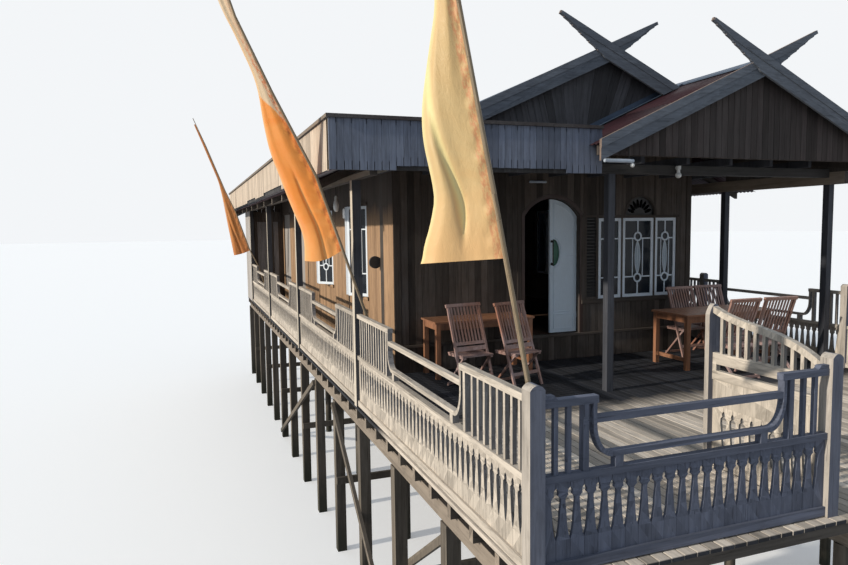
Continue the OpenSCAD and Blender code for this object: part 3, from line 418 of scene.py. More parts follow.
# Painted sunlight on the river posts only: past x 0.5 to 1.0 it fades out, and the dark bluish colour there
# is painted shade
dress(wood("post_wood", (0.070, 0.074, 0.088), "z", aged=(0.10, 0.105, 0.12), sunlit_bleached=(0.64, 0.57, 0.47),
           sun=0.95, spread=0.2, shaded_beyond=(0, 0.5, 1.0)), "roof_posts ceiling_joists")
dress(wood("river_rail_wood", (0.24, 0.235, 0.24), "z", aged=(0.30, 0.29, 0.29), age=0.5,
           sunlit_bleached=(0.60, 0.53, 0.445), sun=0.95, spread=0.20, rails=("y", RIVER_BANDS), stain=0.6,
           facing=0.25), "river_railing land_railing")
# A darker, bluer copy of the river railing's timber: painted sky shade
dress(wood("front_rail_wood", (0.128, 0.144, 0.196), "z", aged=(0.172, 0.188, 0.246), age=0.6,
           spread=0.20, rails=("x", FRONT_BANDS), split=0.5), "front_railing")
dress(wood("side_rail_wood", (0.28, 0.265, 0.25), "z", aged=(0.34, 0.32, 0.30), age=0.5,
           sunlit_bleached=(0.68, 0.60, 0.50), sun=0.9, spread=0.20, stain=0.6, rails=("y", SIDE_BANDS),
           facing=0.25), "side_railing")
# The posts' blue-grey is painted sky shade
dress(wood("rail_post_wood", (0.165, 0.178, 0.228), "z", aged=(0.220, 0.232, 0.285), age=0.6,
           sunlit_bleached=(0.52, 0.465, 0.40), sun=0.9, spread=0.12, split=0.5), "railing_posts")
# The bargeboards' blue-grey is painted sky shade
dress(wood("barge_wood", (0.140, 0.158, 0.190), "x", aged=(0.185, 0.205, 0.235), age=0.6,
           sunlit_bleached=(0.27, 0.19, 0.14), sun=0.8, spread=0.12, facing=0.5), "bargeboards")
dress(wood("cap_wood", (0.060, 0.050, 0.050), "y", sunlit_bleached=(0.30, 0.24, 0.18), sun=0.7, facing=0.6),
      "fascia_caps")
dress(wood("wall_core", BROWN, "z", age=0.3),
      "front_wall_left front_wall_over_door front_wall_right door_threshold land_wall back_wall gable_walls")
dress(wood("lining_wood", (0.11, 0.075, 0.05), "z", age=0.2), "river_wall")
dress(wood("teak", (0.40, 0.185, 0.120), "z", aged=(0.52, 0.445, 0.455), age=0.6, gloss=0.5, rough=0.5,
           relief=0.5, spread=0.2), "chairs")
dress(wood("table_teak", (0.36, 0.150, 0.072), "z", aged=(0.36, 0.205, 0.130), age=0.5, gloss=0.5,
           rough=0.5, relief=0.5, spread=0.2), "tables")
bamboo = dress(wood("bamboo", (0.36, 0.27, 0.17), "z", aged=(0.32, 0.28, 0.22), age=0.4, rough=0.5,
                    relief=0.5, split=0.2), "banner_poles")
dress(pale_wood, "end_bay_walls wall_shutters")
dress(painted("frame_red", (0.042, 0.022, 0.018), wear=0.4), "door_frame")
# The white paints lean blue: that tint is painted sky shade
white_paint = dress(painted("white_paint", (0.86, 0.93, 1.0), wear=0.08, dirt=0.10), "window_sashes")
door_paint = dress(painted("door_paint", (0.80, 0.91, 1.0), wear=0.08, dirt=0.10),
                   "door_leaf_left door_leaf_right")
dark_trim = dress(painted("dark_trim", (0.026, 0.025, 0.026), wear=0.3), "vent_panels")
dress(glass("green_glass", (0.06, 0.22, 0.14), 0.15), "door_glass_left door_glass_right")
dress(glass("pane_glass", (0.024, 0.032, 0.044), 0.25), "window_glass")
dress(plain("black_plastic", (0.022, 0.023, 0.026), 0.35), "wall_disc")
lamp_glass = dress(plain("lamp_glass", (0.78, 0.78, 0.76), 0.12, 0.0001, mottle=0.04), "porch_lamp")
dress(roof_metal, "lean_roof")
dress(flashing_metal, "ridge_caps")
trim_wood = wood("trim_wood", (0.088, 0.070, 0.058), aged=(0.115, 0.10, 0.09), age=0.4, spread=0.2)
etched_glass = glass("etched_glass", (0.56, 0.65, 0.72), 0.10, 0.3)
tube_white = plain("tube_white", (0.46, 0.53, 0.62), 0.3, 0.0002, mottle=0.06)
black_iron = plain("black_iron", (0.020, 0.019, 0.018), 0.45, 0.0008, 0.6)


# Boards

LEVEL, UPRIGHT = Vector((1, 0)), Vector((0, 1))
THIN_BEVEL, BOARD_BEVEL = 0.001, 0.003
MOULDING_BEVEL, MOULDING_TONE = 0.002, 0.5
BALL_STEPS = 10


def inset(corners, depth):
    """The outline moved inwards by depth, as mitred corners."""
    count = len(corners)
    moved = []
    for i, point in enumerate(corners):
        a = (point - corners[i - 1]).normalized()
        b = (corners[(i + 1) % count] - point).normalized()
        inward_a, inward_b = Vector((-a.y, a.x)), Vector((-b.y, b.x))
        middle = inward_a + inward_b
        moved.append(point + middle * depth / max(middle.dot(inward_a), 0.3))
    return moved


def signed_area(corners):
    return sum(a.x * b.y - a.y * b.x for a, b in zip(corners, corners[1:] + corners[:1])) / 2


def clip(corners, point, direction):
    """The part of an outline to the left of a line."""
    side = Vector((-direction.y, direction.x))
    kept = []
    for a, b in zip(corners, corners[1:] + corners[:1]):
        da, db = (a - point).dot(side), (b - point).dot(side)
        if da >= 0:
            kept.append(a)
        if da * db < 0:
            kept.append(a.lerp(b, da / (da - db)))
    return kept


def walls(rings):
    """Faces between each ring of points and the next."""
    return [[low[i - 1], low[i], high[i], high[i - 1]]
            for low, high in zip(rings, rings[1:]) for i in range(len(low))]


def make_mesh(name, points, faces, grain=(), **values):
    """A mesh, with a place on the grain map and named values for each point."""
    mesh = bpy.data.meshes.new(name)
    mesh.from_pydata(points, [], faces)
    if grain:
        layer = mesh.uv_layers.new(name="grain")
        for loop in mesh.loops:
            layer.data[loop.index].uv = grain[loop.vertex_index]
    for key, listed in values.items():
        mesh.attributes.new(key, "FLOAT", "POINT").data.foreach_set("value", listed)
    return mesh


def put_in_scene(name, data):
    thing = bpy.data.objects.new(name, data)
    bpy.context.scene.collection.objects.link(thing)
    return thing


def piece(mesh, material, replaces=(), body="house"):
    thing = put_in_scene(mesh.name, mesh)
    mesh.materials.append(material)
    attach(thing, body)
    if replaces:
        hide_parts(*replaces)
    return thing


class Boards:
    """Boards in one mesh. Each has its grain along its length, and a tone of its own."""

    def __init__(self, name, material, seed):
        self.name, self.material = name, material
        self.points, self.faces, self.grain, self.tones = [], [], [], []
        self.random = random.Random(seed)

    def add(self, corners, place, thick, bevel, along=UPRIGHT, tone=None):
        """A board from an outline in its own plane; place turns (a, b, height) into the house's frame."""
        corners = [Vector(c) for c in corners]
        if len(corners) < 3 or abs(signed_area(corners)) < 1e-5:
            return
        if signed_area(corners) < 0:
            corners.reverse()
        first, count = len(self.points), len(corners)
        tone = self.random.random() if tone is None else tone
        across = Vector((along.y, -along.x))
        shift = Vector((self.random.uniform(0, 40), self.random.uniform(0, 40)))
        for ring, height in ((corners, 0), (corners, thick - bevel), (inset(corners, bevel), thick)):
            for c in ring:
                self.point(place, c, height, (c.dot(across) + height + shift.x, c.dot(along) + shift.y), tone)
        rings = [[first + k * count + i for i in range(count)] for k in range(3)]
        self.skin([rings[0][::-1], rings[2]] + walls(rings), place.to_3x3().determinant() < 0)

    def point(self, place, at, height, grain, tone):
        self.points.append(ORIGIN + place @ Vector((at.x, at.y, height)))
        self.grain.append(grain)
        self.tones.append(tone)

    def skin(self, faces, flip):
        self.faces += [face[::-1] for face in faces] if flip else faces

    def rect(self, place, a0, a1, b0, b1, thick, bevel=BOARD_BEVEL, along=UPRIGHT):
        self.add([(a0, b0), (a1, b0), (a1, b1), (a0, b1)], place, thick, bevel, along)

    def bar(self, start, end, width, height, side):
        """A straight bar between two points, of a width across `side` and a height square to it."""
        start, end = Vector(start), Vector(end)
        run, side = (end - start).normalized(), Vector(side)
        side = (side - run * side.dot(run)).normalized()
        out = side.cross(run)
        place = Matrix.Translation(start - out * height / 2) @ Matrix((side, run, out)).transposed().to_4x4()
        self.rect(place, -width / 2, width / 2, 0, (end - start).length, height, THIN_BEVEL)

    def moulding(self, line, place, width, thick, closed=False):
        """A strip that follows a line in its own plane, with mitred corners and rounded-off edges."""
        line = [Vector(c) for c in line]
        first, count, run = len(self.points), len(line), 0.0
        half, shoulder, bevel = width / 2, thick - MOULDING_BEVEL, MOULDING_BEVEL
        profile = ((-half, 0), (-half, shoulder), (bevel - half, thick), (half - bevel, thick),
                   (half, shoulder), (half, 0))
        shift = self.random.uniform(0, 40)
        for i, point in enumerate(line):
            before = line[i - 1] if closed or i else None
            after = line[(i + 1) % count] if closed or i < count - 1 else None
            b = (after - point).normalized() if after else (point - before).normalized()
            a = (point - before).normalized() if before else b
            left_a, left_b = Vector((-a.y, a.x)), Vector((-b.y, b.x))
            middle = (left_a + left_b) / max((left_a + left_b).dot(left_a), 0.3)
            for offset, height in profile:
                grain = (offset + height + shift, run + shift)
                self.point(place, point + middle * offset, height, grain, MOULDING_TONE)
            if after:
                run += (after - point).length
        sides = len(profile)
        rings = [[first + i * sides + k for k in range(sides)] for i in range(count)]
        made = walls(rings + rings[:1]) if closed else walls(rings) + [rings[0][::-1], rings[-1]]
        self.skin(made, place.to_3x3().determinant() > 0)

    def build(self, slot, replaces=(), body="house"):
        mesh = make_mesh(self.name, self.points, self.faces, self.grain, tone=self.tones)
        return piece(mesh, self.material, replaces, body)


class Turned:
    """Round pieces in one mesh: profiles of (radius, height) pairs, each turned about its own axis."""

    def __init__(self, name, material, sides=20):
        self.name, self.material, self.sides = name, material, sides
        self.points, self.faces = [], []

    def add(self, profile, base, axis=UP):
        turn = UP.rotation_difference(Vector(axis)).to_matrix()
        first, n = len(self.points), self.sides
        for radius, height in profile:
            for k in range(n):
                angle = 2 * math.pi * k / n
                rim = Vector((radius * math.cos(angle), radius * math.sin(angle), height))
                self.points.append(ORIGIN + Vector(base) + turn @ rim)
        for j in range(len(profile) - 1):
            low, high = first + j * n, first + (j + 1) * n
            self.faces += [[low + k, low + (k + 1) % n, high + (k + 1) % n, high + k] for k in range(n)]
        self.faces.append([first + k for k in range(n)][::-1])
        self.faces.append([len(self.points) - n + k for k in range(n)])

    def rod(self, start, end, radius, edge=0.001):
        run, inner = Vector(end) - Vector(start), radius - edge
        self.add(((inner, 0), (radius, edge), (radius, run.length - edge), (inner, run.length)), start, run)

    def ball(self, centre, radius):
        ring = [math.pi * (i + 0.15) / (BALL_STEPS + 0.3) for i in range(BALL_STEPS + 1)]
        self.add([(radius * math.sin(a), -radius * math.cos(a)) for a in ring], centre)

    def build(self, slot, body="house"):
        mesh = make_mesh(self.name, self.points, self.faces)
        mesh.shade_smooth()
        mesh.set_sharp_from_angle(angle=math.radians(40))
        return piece(mesh, self.material, (), body)


def plane_y(y, sign=-1):
    """A vertical plane at y whose outlines are in x and z, facing -y or +y."""
    return Matrix(((1, 0, 0, 0), (0, 0, sign, y), (0, 1, 0, 0), (0, 0, 0, 1)))


def plane_x(x, sign=-1):
    """A vertical plane at x whose outlines are in y and z, facing -x or +x."""
    return Matrix(((0, 0, sign, x), (1, 0, 0, 0), (0, 1, 0, 0), (0, 0, 0, 1)))


def plane_z(z):
    """A level plane at z whose outlines are in x and y, facing up."""
    return Matrix.Translation((0, 0, z))


def joints(start, end, width, marks=()):
    """Lines between boards from start to end, near `width` apart and at every mark."""
    stops = sorted({start, end, *[m for m in marks if start < m < end]})
    lines = [start]
    for a, b in zip(stops, stops[1:]):
        count = max(1, round((b - a) / width))
        lines += [a + (b - a) * i / count for i in range(1, count + 1)]
    return lines


CLAD_T = 0.014
CLAD_GAP = 0.002


def clad(boards, place, lines, spans, thick=CLAD_T):
    """Boards between neighbouring lines. spans is one pair of heights, or gives at each place the
    pairs of heights between which there are boards."""
    heights = spans if callable(spans) else lambda at: [spans]
    inside, half_gap = 1e-4, CLAD_GAP / 2
    for a, b in zip(lines, lines[1:]):
        for (low_a, high_a), (low_b, high_b) in zip(heights(a + inside), heights(b - inside)):
            left, right = a + half_gap, b - half_gap
            corners = [(left, low_a), (right, low_b), (right, high_b), (left, high_a)]
            boards.add(corners, place, thick, BOARD_BEVEL)


def under_roof(x, ridge_x, ridge_z):
    """Height of the underside of a roof."""
    return ridge_z - abs(x - ridge_x) * TAN_P - SHEET_T / COS_P - 0.001


def under_main(x):
    return under_roof(x, MID_X, RIDGE_Z)


def under_porch(x):
    return under_roof(x, PORCH_X, PORCH_Z)


# Decks: boards run along the house, and meet over joists
JOIST_STEP, JOIST_W = 0.39, 0.06
DECK_BOARD_W, DECK_GAP = 0.0952, 0.007
END_GAP = 0.001
SHORTEST = 0.8

deck = Boards("deck_boards", deck_wood, 3)
first_joist = house_box("deck_joists")[0].y + JOIST_W / 2
DECKS = ((deck_low.x, HOUSE_X0, BACK_Y), (HOUSE_X0, HOUSE_X1, FRONT_Y), (HOUSE_X1, deck_high.x, BACK_Y))
for x0, x1, y1 in DECKS:
    lines = joints(x0, x1, DECK_BOARD_W)
    for a, b in zip(lines, lines[1:]):
        y = deck_low.y + deck.random.uniform(0, 0.006)
        while y < y1:
            reach = y + deck.random.uniform(2.2, 4.0)
            stop = first_joist + round((reach - first_joist) / JOIST_STEP) * JOIST_STEP
            stop = y1 if stop > y1 - SHORTEST else stop
            deck.rect(plane_z(-DECK_T), a + DECK_GAP / 2, b - DECK_GAP / 2, y + END_GAP, stop - END_GAP,
                      DECK_T - deck.random.uniform(0, 0.0015))
            y = stop
deck.build("deck_timber", ("porch_deck", "veranda_decks"))

floor_low, floor_high = house_box("house_floor")
floor = Boards("room_floor_boards", floor_wood, 4)
FLOOR_BOARD_W = 0.12
for k in range(round((floor_high.x - floor_low.x) / FLOOR_BOARD_W)):
    a = floor_low.x + FLOOR_BOARD_W * k
    b = min(a + FLOOR_BOARD_W, floor_high.x)
    y = floor_low.y
    while y < floor_high.y:
        stop = min(y + floor.random.uniform(2.4, 4.2), floor_high.y)
        floor.rect(plane_z(floor_low.z), a + END_GAP, b - END_GAP, y, stop - END_GAP,
                   floor_high.z - floor_low.z, 0.0015)
        y = stop
floor.build("brown_boards", ("house_floor",))

# Wall boards. FOOT is the gap under boards that stand on the deck
FOOT = 0.002
FRONT_BOARD_W, SIDE_BOARD_W, BACK_BOARD_W = 0.098, 0.105, 0.1
SKIRT_Z0, SKIRT_Z1, SKIRT_T = FLOOR_Z - 0.028, FLOOR_Z + 0.010, 0.036
FRONT_Z0 = FLOOR_Z + 0.012
SASHES = ((4.03, 4.43), (4.46, 5.02), (5.05, 5.44))
SASH_Z0, SASH_Z1 = 0.87, 2.065
LOUVRE = (3.785, 3.985, 0.90, 2.10)
VENT_X, VENT_Z, VENT_R = 4.775, 2.115, 0.27
ARCH_R = 0.542
ARCH_TOP = house_box("front_wall_over_door")[0].z + ARCH_R - math.sqrt(ARCH_R ** 2 - (DOOR_X - DOOR_X0) ** 2)
WALL_X0, WALL_X1 = HOUSE_X0 - CLAD_T, HOUSE_X1 + CLAD_T


def front_spans(x):
    top, low = under_main(x), FRONT_Z0
    if DOOR_X0 < x < DOOR_X1:
        return [(ARCH_TOP - ARCH_R + math.sqrt(ARCH_R ** 2 - (x - DOOR_X) ** 2), top)]
    if LOUVRE[0] < x < LOUVRE[1]:
        return [(low, LOUVRE[2]), (LOUVRE[3], top)]
    if any(a < x < b for a, b in SASHES):
        if abs(x - VENT_X) < VENT_R:
            return [(low, SASH_Z0), (VENT_Z + math.sqrt(VENT_R ** 2 - (x - VENT_X) ** 2), top)]
        return [(low, SASH_Z0), (SASH_Z1, top)]
    return [(low, top)]


front_plane = plane_y(FRONT_Y)
front = Boards("front_wall_boards", front_wood, 5)
marks = [DOOR_X0, DOOR_X1, LOUVRE[0], LOUVRE[1], MID_X, VENT_X - VENT_R, VENT_X + VENT_R]
marks += [x for pair in SASHES for x in pair]
clad(front, front_plane, joints(WALL_X0, WALL_X1, FRONT_BOARD_W, marks), front_spans)
clad(front, front_plane, joints(WALL_X0, WALL_X1, FRONT_BOARD_W), (FOOT, FLOOR_Z - 0.03))
front.rect(front_plane, WALL_X0, WALL_X1, SKIRT_Z0, SKIRT_Z1, SKIRT_T, 0.004, LEVEL)
front.build("brown_boards")

SIDE_WINDOWS = ((6.62, 7.48), (9.10, 9.96))
SIDE_Z0, SIDE_Z1 = 0.92, 2.30
SHUTTERS = ((12.20, 13.30), (14.35, 15.45))
SHUTTER_Z0, SHUTTER_Z1 = 0.42, 2.35


def side_spans(y):
    for openings, low, high in ((SIDE_WINDOWS, SIDE_Z0, SIDE_Z1), (SHUTTERS, SHUTTER_Z0, SHUTTER_Z1)):
        if any(a < y < b for a, b in openings):
            return [(FOOT, low), (high, wall_high.z)]
    return [(FOOT, wall_high.z)]


marks = [y for pair in SIDE_WINDOWS + SHUTTERS for y in pair]
for name, x, sign, finish, slot in (("river_wall_boards", HOUSE_X0, -1, river_wood, "tan_boards"),
                                    ("land_wall_boards", HOUSE_X1, 1, land_wood, "brown_boards")):
    side = Boards(name, finish, 6)
    clad(side, plane_x(x, sign), joints(FRONT_Y, BACK_Y, SIDE_BOARD_W, marks), side_spans)
    side.build(slot)

back_top = house_box("back_wall")[1].z
BACK_WINDOW = (MID_X - 0.7, MID_X + 0.7)


def back_spans(x):
    if BACK_WINDOW[0] < x < BACK_WINDOW[1]:
        return [(FOOT, SIDE_Z0), (SASH_Z1, back_top)]
    return [(FOOT, back_top)]


back = Boards("back_wall_boards", land_wood, 7)
back_plane = plane_y(BACK_Y, 1)
clad(back, back_plane, joints(HOUSE_X0, HOUSE_X1, BACK_BOARD_W, BACK_WINDOW), back_spans)
gable_reach = (under_main(MID_X) - back_top) / TAN_P - 0.02
clad(back, back_plane, joints(MID_X - gable_reach, MID_X + gable_reach, BACK_BOARD_W, [MID_X]),
     lambda x: [(back_top + 0.004, max(under_main(x), back_top + 0.01))])
back.build("brown_boards")

# End bays: pale walls, brown boards towards the porch with two pale panels on them
END_BOARD_W, END_T = 0.11, 0.012
END_PANELS = ((0.150, 0.452), (0.588, 0.712))
end = Boards("end_bay_boards", pale_wood, 8)
end_front = Boards("end_bay_front_boards", front_wood, 39)
cross_top = house_box("eave_beams")[0].z
for outer, inner, sign in ((end_low.x, HOUSE_X0, -1), (end_high.x, HOUSE_X1, 1)):
    clad(end, plane_x(outer, sign), joints(end_low.y, end_high.y, END_BOARD_W), (FOOT, end_high.z), END_T)
    across = joints(min(outer, inner), max(outer, inner), END_BOARD_W)
    clad(end_front, plane_y(end_low.y), across, (FOOT, cross_top), END_T)
    clad(end, plane_y(end_high.y, 1), across, (FOOT, cross_top), END_T)
    near, far = sorted((inner, outer - sign * 0.09))
    clad(end_front, plane_y(end_low.y + 0.05), joints(near, far, END_BOARD_W),
         lambda x: [(cross_top - 0.03, under_main(x) - 0.004)], END_T)
    for a, b in END_PANELS:
        x0, x1 = (a, b) if sign < 0 else (HOUSE_X0 + HOUSE_X1 - b, HOUSE_X0 + HOUSE_X1 - a)
        clad(end, plane_y(end_low.y - END_T), joints(x0, x1, 0.10), (0.10, 2.18), END_T)
end.build("pale_boards")
end_front.build("pale_boards")

# Gable boards. On the main gable they lean outwards from a middle line, as an open fan
FAN_X, FAN_Z, FAN_TURN = 2.88, 2.75, 0.20
FAN_LEFT, FAN_RIGHT = -0.24, 0.36
FAN_BOARD_W, FAN_BACK = 0.088, 0.06
FAN_X0, FAN_X1, FAN_STEP = 0.33, VALLEY_X - 0.06, 2.5


def fan_lean(x):
    """The direction of the boards' joint that starts at x."""
    share = min(abs(x - FAN_X) / FAN_TURN, 1)
    return Vector((share * (FAN_LEFT if x < FAN_X else FAN_RIGHT), 1)).normalized()


gables = Boards("gable_fan_boards", gable_wood, 9)
outline = [Vector(c) for c in (
    (FAN_X0, FAN_Z + 0.002), (FAN_STEP, FAN_Z + 0.002), (FAN_STEP, under_porch(FAN_STEP) - 0.012),
    (FAN_X1, under_porch(FAN_X1) - 0.012), (FAN_X1, under_main(FAN_X1) - 0.003),
    (MID_X, under_main(MID_X) - 0.003), (FAN_X0, under_main(FAN_X0) - 0.003))]
lines = joints(0.0, 5.2, FAN_BOARD_W, [FAN_X])
for a, b in zip(lines, lines[1:]):
    lean_a, lean_b = fan_lean(a), fan_lean(b)
    slab = clip(outline, Vector((a + CLAD_GAP / 2, FAN_Z)), -lean_a)
    slab = clip(slab, Vector((b - CLAD_GAP / 2, FAN_Z)), lean_b) if slab else slab
    if slab:
        along = ((lean_a + lean_b) / 2).normalized()
        gables.add(slab, plane_y(GABLE_Y + FAN_BACK), CLAD_T, BOARD_BEVEL, along)
gables.build("grey_boards")

PORCH_GABLE_Y, PORCH_GABLE_Z0, PORCH_BOARD_W = porch_low.y + 0.08, 2.712, 0.086
porch_gable = Boards("porch_gable_boards", porch_gable_wood, 10)
reach = PORCH_HALF - 0.04
clad(porch_gable, plane_y(PORCH_GABLE_Y), joints(PORCH_X - reach, PORCH_X + reach, PORCH_BOARD_W, [PORCH_X]),
     lambda x: [(PORCH_GABLE_Z0, under_porch(x) - 0.003)])
porch_gable.build("brown_boards")

# Eave boards: short upright boards with slots between their feet and at the top, on a near-black backing that
# is painted shade in the slots
SLOT_W, SLOT_H, TOP_SLOT_H = 0.007, 0.078, 0.045
SLOT_SLOPE, TOP_SLOT_SLOPE = 0.01, 0.008
HALF_JOINT, BACKING_FOOT, BACKING_T = 0.0008, 0.004, 0.011
FASCIA_T = fascia_high.x - fascia_low.x
EAVE_Z0, EAVE_Z1 = fascia_low.z, fascia_high.z
EAVE_BOARD_W = 0.074


def eave_boards(boards, backing, place, lines, feet):
    """place is at the back of the boards. feet are pairs: where a step in the lower edge ends, and
    how far it is raised. The slots at the top are only at every other joint."""
    front = place @ Matrix.Translation((0, 0, BACKING_T))
    for i, (a, b) in enumerate(zip(lines, lines[1:])):
        lift = next((height for end_at, height in feet if (a + b) / 2 < end_at), feet[-1][1])
        low = EAVE_Z0 + lift + boards.random.uniform(0, 0.004)
        left, right, notch = a + HALF_JOINT, b - HALF_JOINT, SLOT_W / 2
        shoulder, head, top = low + SLOT_H, EAVE_Z1 - TOP_SLOT_H, EAVE_Z1
        neck = head - TOP_SLOT_SLOPE
        tone = tone * 0.8 + 0.1 if i % 2 else boards.random.random()
        corners = [(left + notch, low), (right - notch, low), (right - notch, shoulder),
                   (right, shoulder + SLOT_SLOPE)]
        if i % 2:
            corners += [(right, top), (left + notch, top), (left + notch, head), (left, neck)]
        else:
            corners += [(right, neck), (right - notch, head), (right - notch, top), (left, top)]
        corners += [(left, shoulder + SLOT_SLOPE), (left + notch, shoulder)]
        boards.add(corners, front, FASCIA_T - BACKING_T, 0.0015, tone=tone)
        backing.rect(place, a, b, EAVE_Z0 + BACKING_FOOT, top, BACKING_T - 0.001, 0.0005)


EAVES = (
    ("river_eave", fascia_wood, "tan_boards", "river_fascia", plane_x(fascia_low.x + FASCIA_T),
     (fascia_low.y, fascia_high.y), ((6.3, 0), (8.5, 0.065), (9.9, 0.025), (11.6, 0.06), (99, 0.015))),
    ("front_eave", front_fascia_wood, "grey_boards", "front_fascia", plane_y(front_fascia_high.y),
     (front_fascia_low.x, front_fascia_high.x), ((0.21, 0), (2.11, 0.045), (99, 0.005))),
    ("land_eave", fascia_wood, "grey_boards", "land_fascia", plane_x(land_fascia_low.x, 1),
     (land_fascia_low.y, land_fascia_high.y), ((9.7, 0), (13.6, 0.045), (99, 0))),
)
for seed, (name, finish, slot, node, place, ends, feet) in enumerate(EAVES, 11):
    boards, backing = Boards(name + "_boards", finish, seed), Boards(name + "_backing", slot_shade_wood, seed)
    lines = joints(*ends, EAVE_BOARD_W, [at for at, lift in feet])
    eave_boards(boards, backing, place, lines, feet)
    boards.build(slot, (node,))
    backing.build(slot)

# Corrugated roof sheets
WAVE, WAVE_H, STEPS_PER_WAVE = 0.076, 0.0075, 8
SHEET_W, SHEET_L, SHEET_LAP = 0.76, 1.83, 0.14
METAL_T = 0.0012
END_LAP_LIFT, SIDE_LAP_LIFT = 0.002, 0.0012


def corrugated(name, x_ridge, z_ridge, x_eave, y0, y1, replaces=(), x_start=None):
    """Rows of sheets down a slope from the ridge line to x_eave, each row lapping the one below."""
    sign = 1 if x_eave > x_ridge else -1
    down = Vector((sign * COS_P, 0, -SIN_P))
    out = Vector((sign * SIN_P, 0, COS_P))
    crest = Vector((x_ridge, 0, z_ridge - SHEET_T / COS_P / 2))
    start = 0 if x_start is None else abs(x_start - x_ridge) / COS_P
    length = abs(x_eave - x_ridge) / COS_P
    count = max(1, math.ceil((length - start - SHEET_LAP) / (SHEET_L - SHEET_LAP)))
    pace = (length - start - SHEET_LAP) / count if count > 1 else length - start
    points, faces = [], []
    columns = round((y1 - y0) / WAVE * STEPS_PER_WAVE)
    width = columns + 1
    for row in range(count):
        s0 = start + row * pace
        s1 = min(s0 + pace + (SHEET_LAP if count > 1 else 0), length)
        base = len(points)
        for thick in (METAL_T / 2, -METAL_T / 2):
            for s in (s0, s1):
                lift = END_LAP_LIFT if s == s1 and row < count - 1 else 0.0
                for k in range(width):
                    y = y0 + (y1 - y0) * k / columns
                    lap = SIDE_LAP_LIFT * (y // SHEET_W % 2)
                    height = WAVE_H * math.cos(2 * math.pi * y / WAVE) + lift + lap + thick
                    points.append(ORIGIN + crest + down * s + out * height + Vector((0, y, 0)))
        for k in range(columns):
            t0, t1, u0, u1 = (base + j * width + k for j in range(4))
            quads = [[t0, t1, t1 + 1, t0 + 1], [u0, u0 + 1, u1 + 1, u1],
                     [t1, u1, u1 + 1, t1 + 1], [t0, t0 + 1, u0 + 1, u0]]
            faces += quads if sign > 0 else [q[::-1] for q in quads]
        for k in (0, columns):
            quad = [base + k, base + 2 * width + k, base + 3 * width + k, base + width + k]
            faces.append(quad if (k == 0) == (sign > 0) else quad[::-1])
    mesh = make_mesh(name, points, faces)
    mesh.shade_smooth()
    return piece(mesh, roof_metal, replaces)


MAIN_RIDGE, PORCH_RIDGE = (MID_X, RIDGE_Z), (PORCH_X, PORCH_Z)
EAVE_CLEAR = 0.005
roof_back = ridge_high.y
PORCH_BACK = FRONT_Y + 0.24
porch_front = porch_low.y
porch_step = fascia_low.y - 0.03
front_end_x = front_fascia_high.x
corrugated("main_roof_sheets_river", *MAIN_RIDGE, fascia_low.x + FASCIA_T + EAVE_CLEAR, ridge_low.y,
           roof_back, ("main_roof_river",))
corrugated("main_roof_sheets_land", *MAIN_RIDGE, VALLEY_X, ridge_low.y, roof_back, ("main_roof_land",))
corrugated("main_roof_sheets_land_low", *MAIN_RIDGE, land_fascia_high.x - FASCIA_T - EAVE_CLEAR,
           FRONT_Y - 0.06, roof_back, x_start=VALLEY_X - 0.05)
corrugated("porch_roof_sheets_left", *PORCH_RIDGE, PORCH_X - PORCH_HALF, porch_front, porch_step,
           ("porch_roof_left",))
corrugated("porch_roof_sheets_middle", *PORCH_RIDGE, front_end_x + 0.01, porch_step, GABLE_Y - 0.055)
corrugated("porch_roof_sheets_valley", *PORCH_RIDGE, VALLEY_X + 0.03, GABLE_Y - 0.056, PORCH_BACK)
corrugated("porch_roof_sheets_right", *PORCH_RIDGE, PORCH_X + PORCH_HALF, porch_front, PORCH_BACK,
           ("porch_roof_right",))


# Boards that close the back of the porch roof above the main slope
def above_main(x):
    return RIDGE_Z - abs(x - MID_X) * TAN_P + 0.012


CLOSING_T = 0.03
closing = Boards("porch_roof_back_boards", gable_wood, 14)
lines = joints(VALLEY_X + 0.04, PORCH_X + PORCH_HALF - 0.02, BACK_BOARD_W, [PORCH_X])
clad(closing, plane_y(PORCH_BACK - CLOSING_T, 1), lines,
     lambda x: [(above_main(x), max(under_porch(x) + 0.008, above_main(x) + 0.004))], CLOSING_T)
closing.build("grey_boards")

# Flashing along the foot of the main gable, on the porch roof
FLASHING_W, FLASHING_LIFT = 0.105, 0.012
flashing = Boards("gable_flashing", flashing_metal, 15)
foot_line = [Vector((x, GABLE_Y + 0.046 - FLASHING_W / 2, PORCH_Z - (PORCH_X - x) * TAN_P + FLASHING_LIFT))
             for x in (front_end_x + 0.012, VALLEY_X)]
upstand = Vector((0, FLASHING_W / 2 - 0.002, 0.028))
flashing.bar(*foot_line, FLASHING_W, 0.004, (0, 1, 0))
flashing.bar(foot_line[0] + upstand, foot_line[1] + upstand, 0.003, 0.06, (0, 1, 0))
flashing.build("roof_sheet")

# Door leaves: raised mouldings round three panels, a border round the glass and an iron handle.
# On each leaf `a` runs from the meeting edge to the hinges and `b` up from its foot
LEAF_H, LEAF_ARCH, ARCH_INSET = 1.955, 0.530, 0.052
GLASS_A, GLASS_B, GLASS_RA, GLASS_RB = 0.055, 1.180, 0.105, 0.200
PANEL_A0, PANEL_A1, PANEL_B = 0.070, 0.400, (0.060, 0.270, 0.310, 1.125, 1.165)
PANEL_GAP = 0.03
HANDLE_A, HANDLE_HALF, HANDLE_OUT = 0.030, 0.165, 0.042


def oval(grow, low, high, count=14):
    """Points on an oval that follows the glass, between two heights, from the higher to the lower."""
    ra, rb = GLASS_RA + grow, GLASS_RB + grow
    top, bottom = (math.asin(max(-1, min(1, (b - GLASS_B) / rb))) for b in (high, low))
    angles = [top + (bottom - top) * i / count for i in range(count + 1)]
    return [(GLASS_A + ra * math.cos(t), GLASS_B + rb * math.sin(t)) for t in angles]


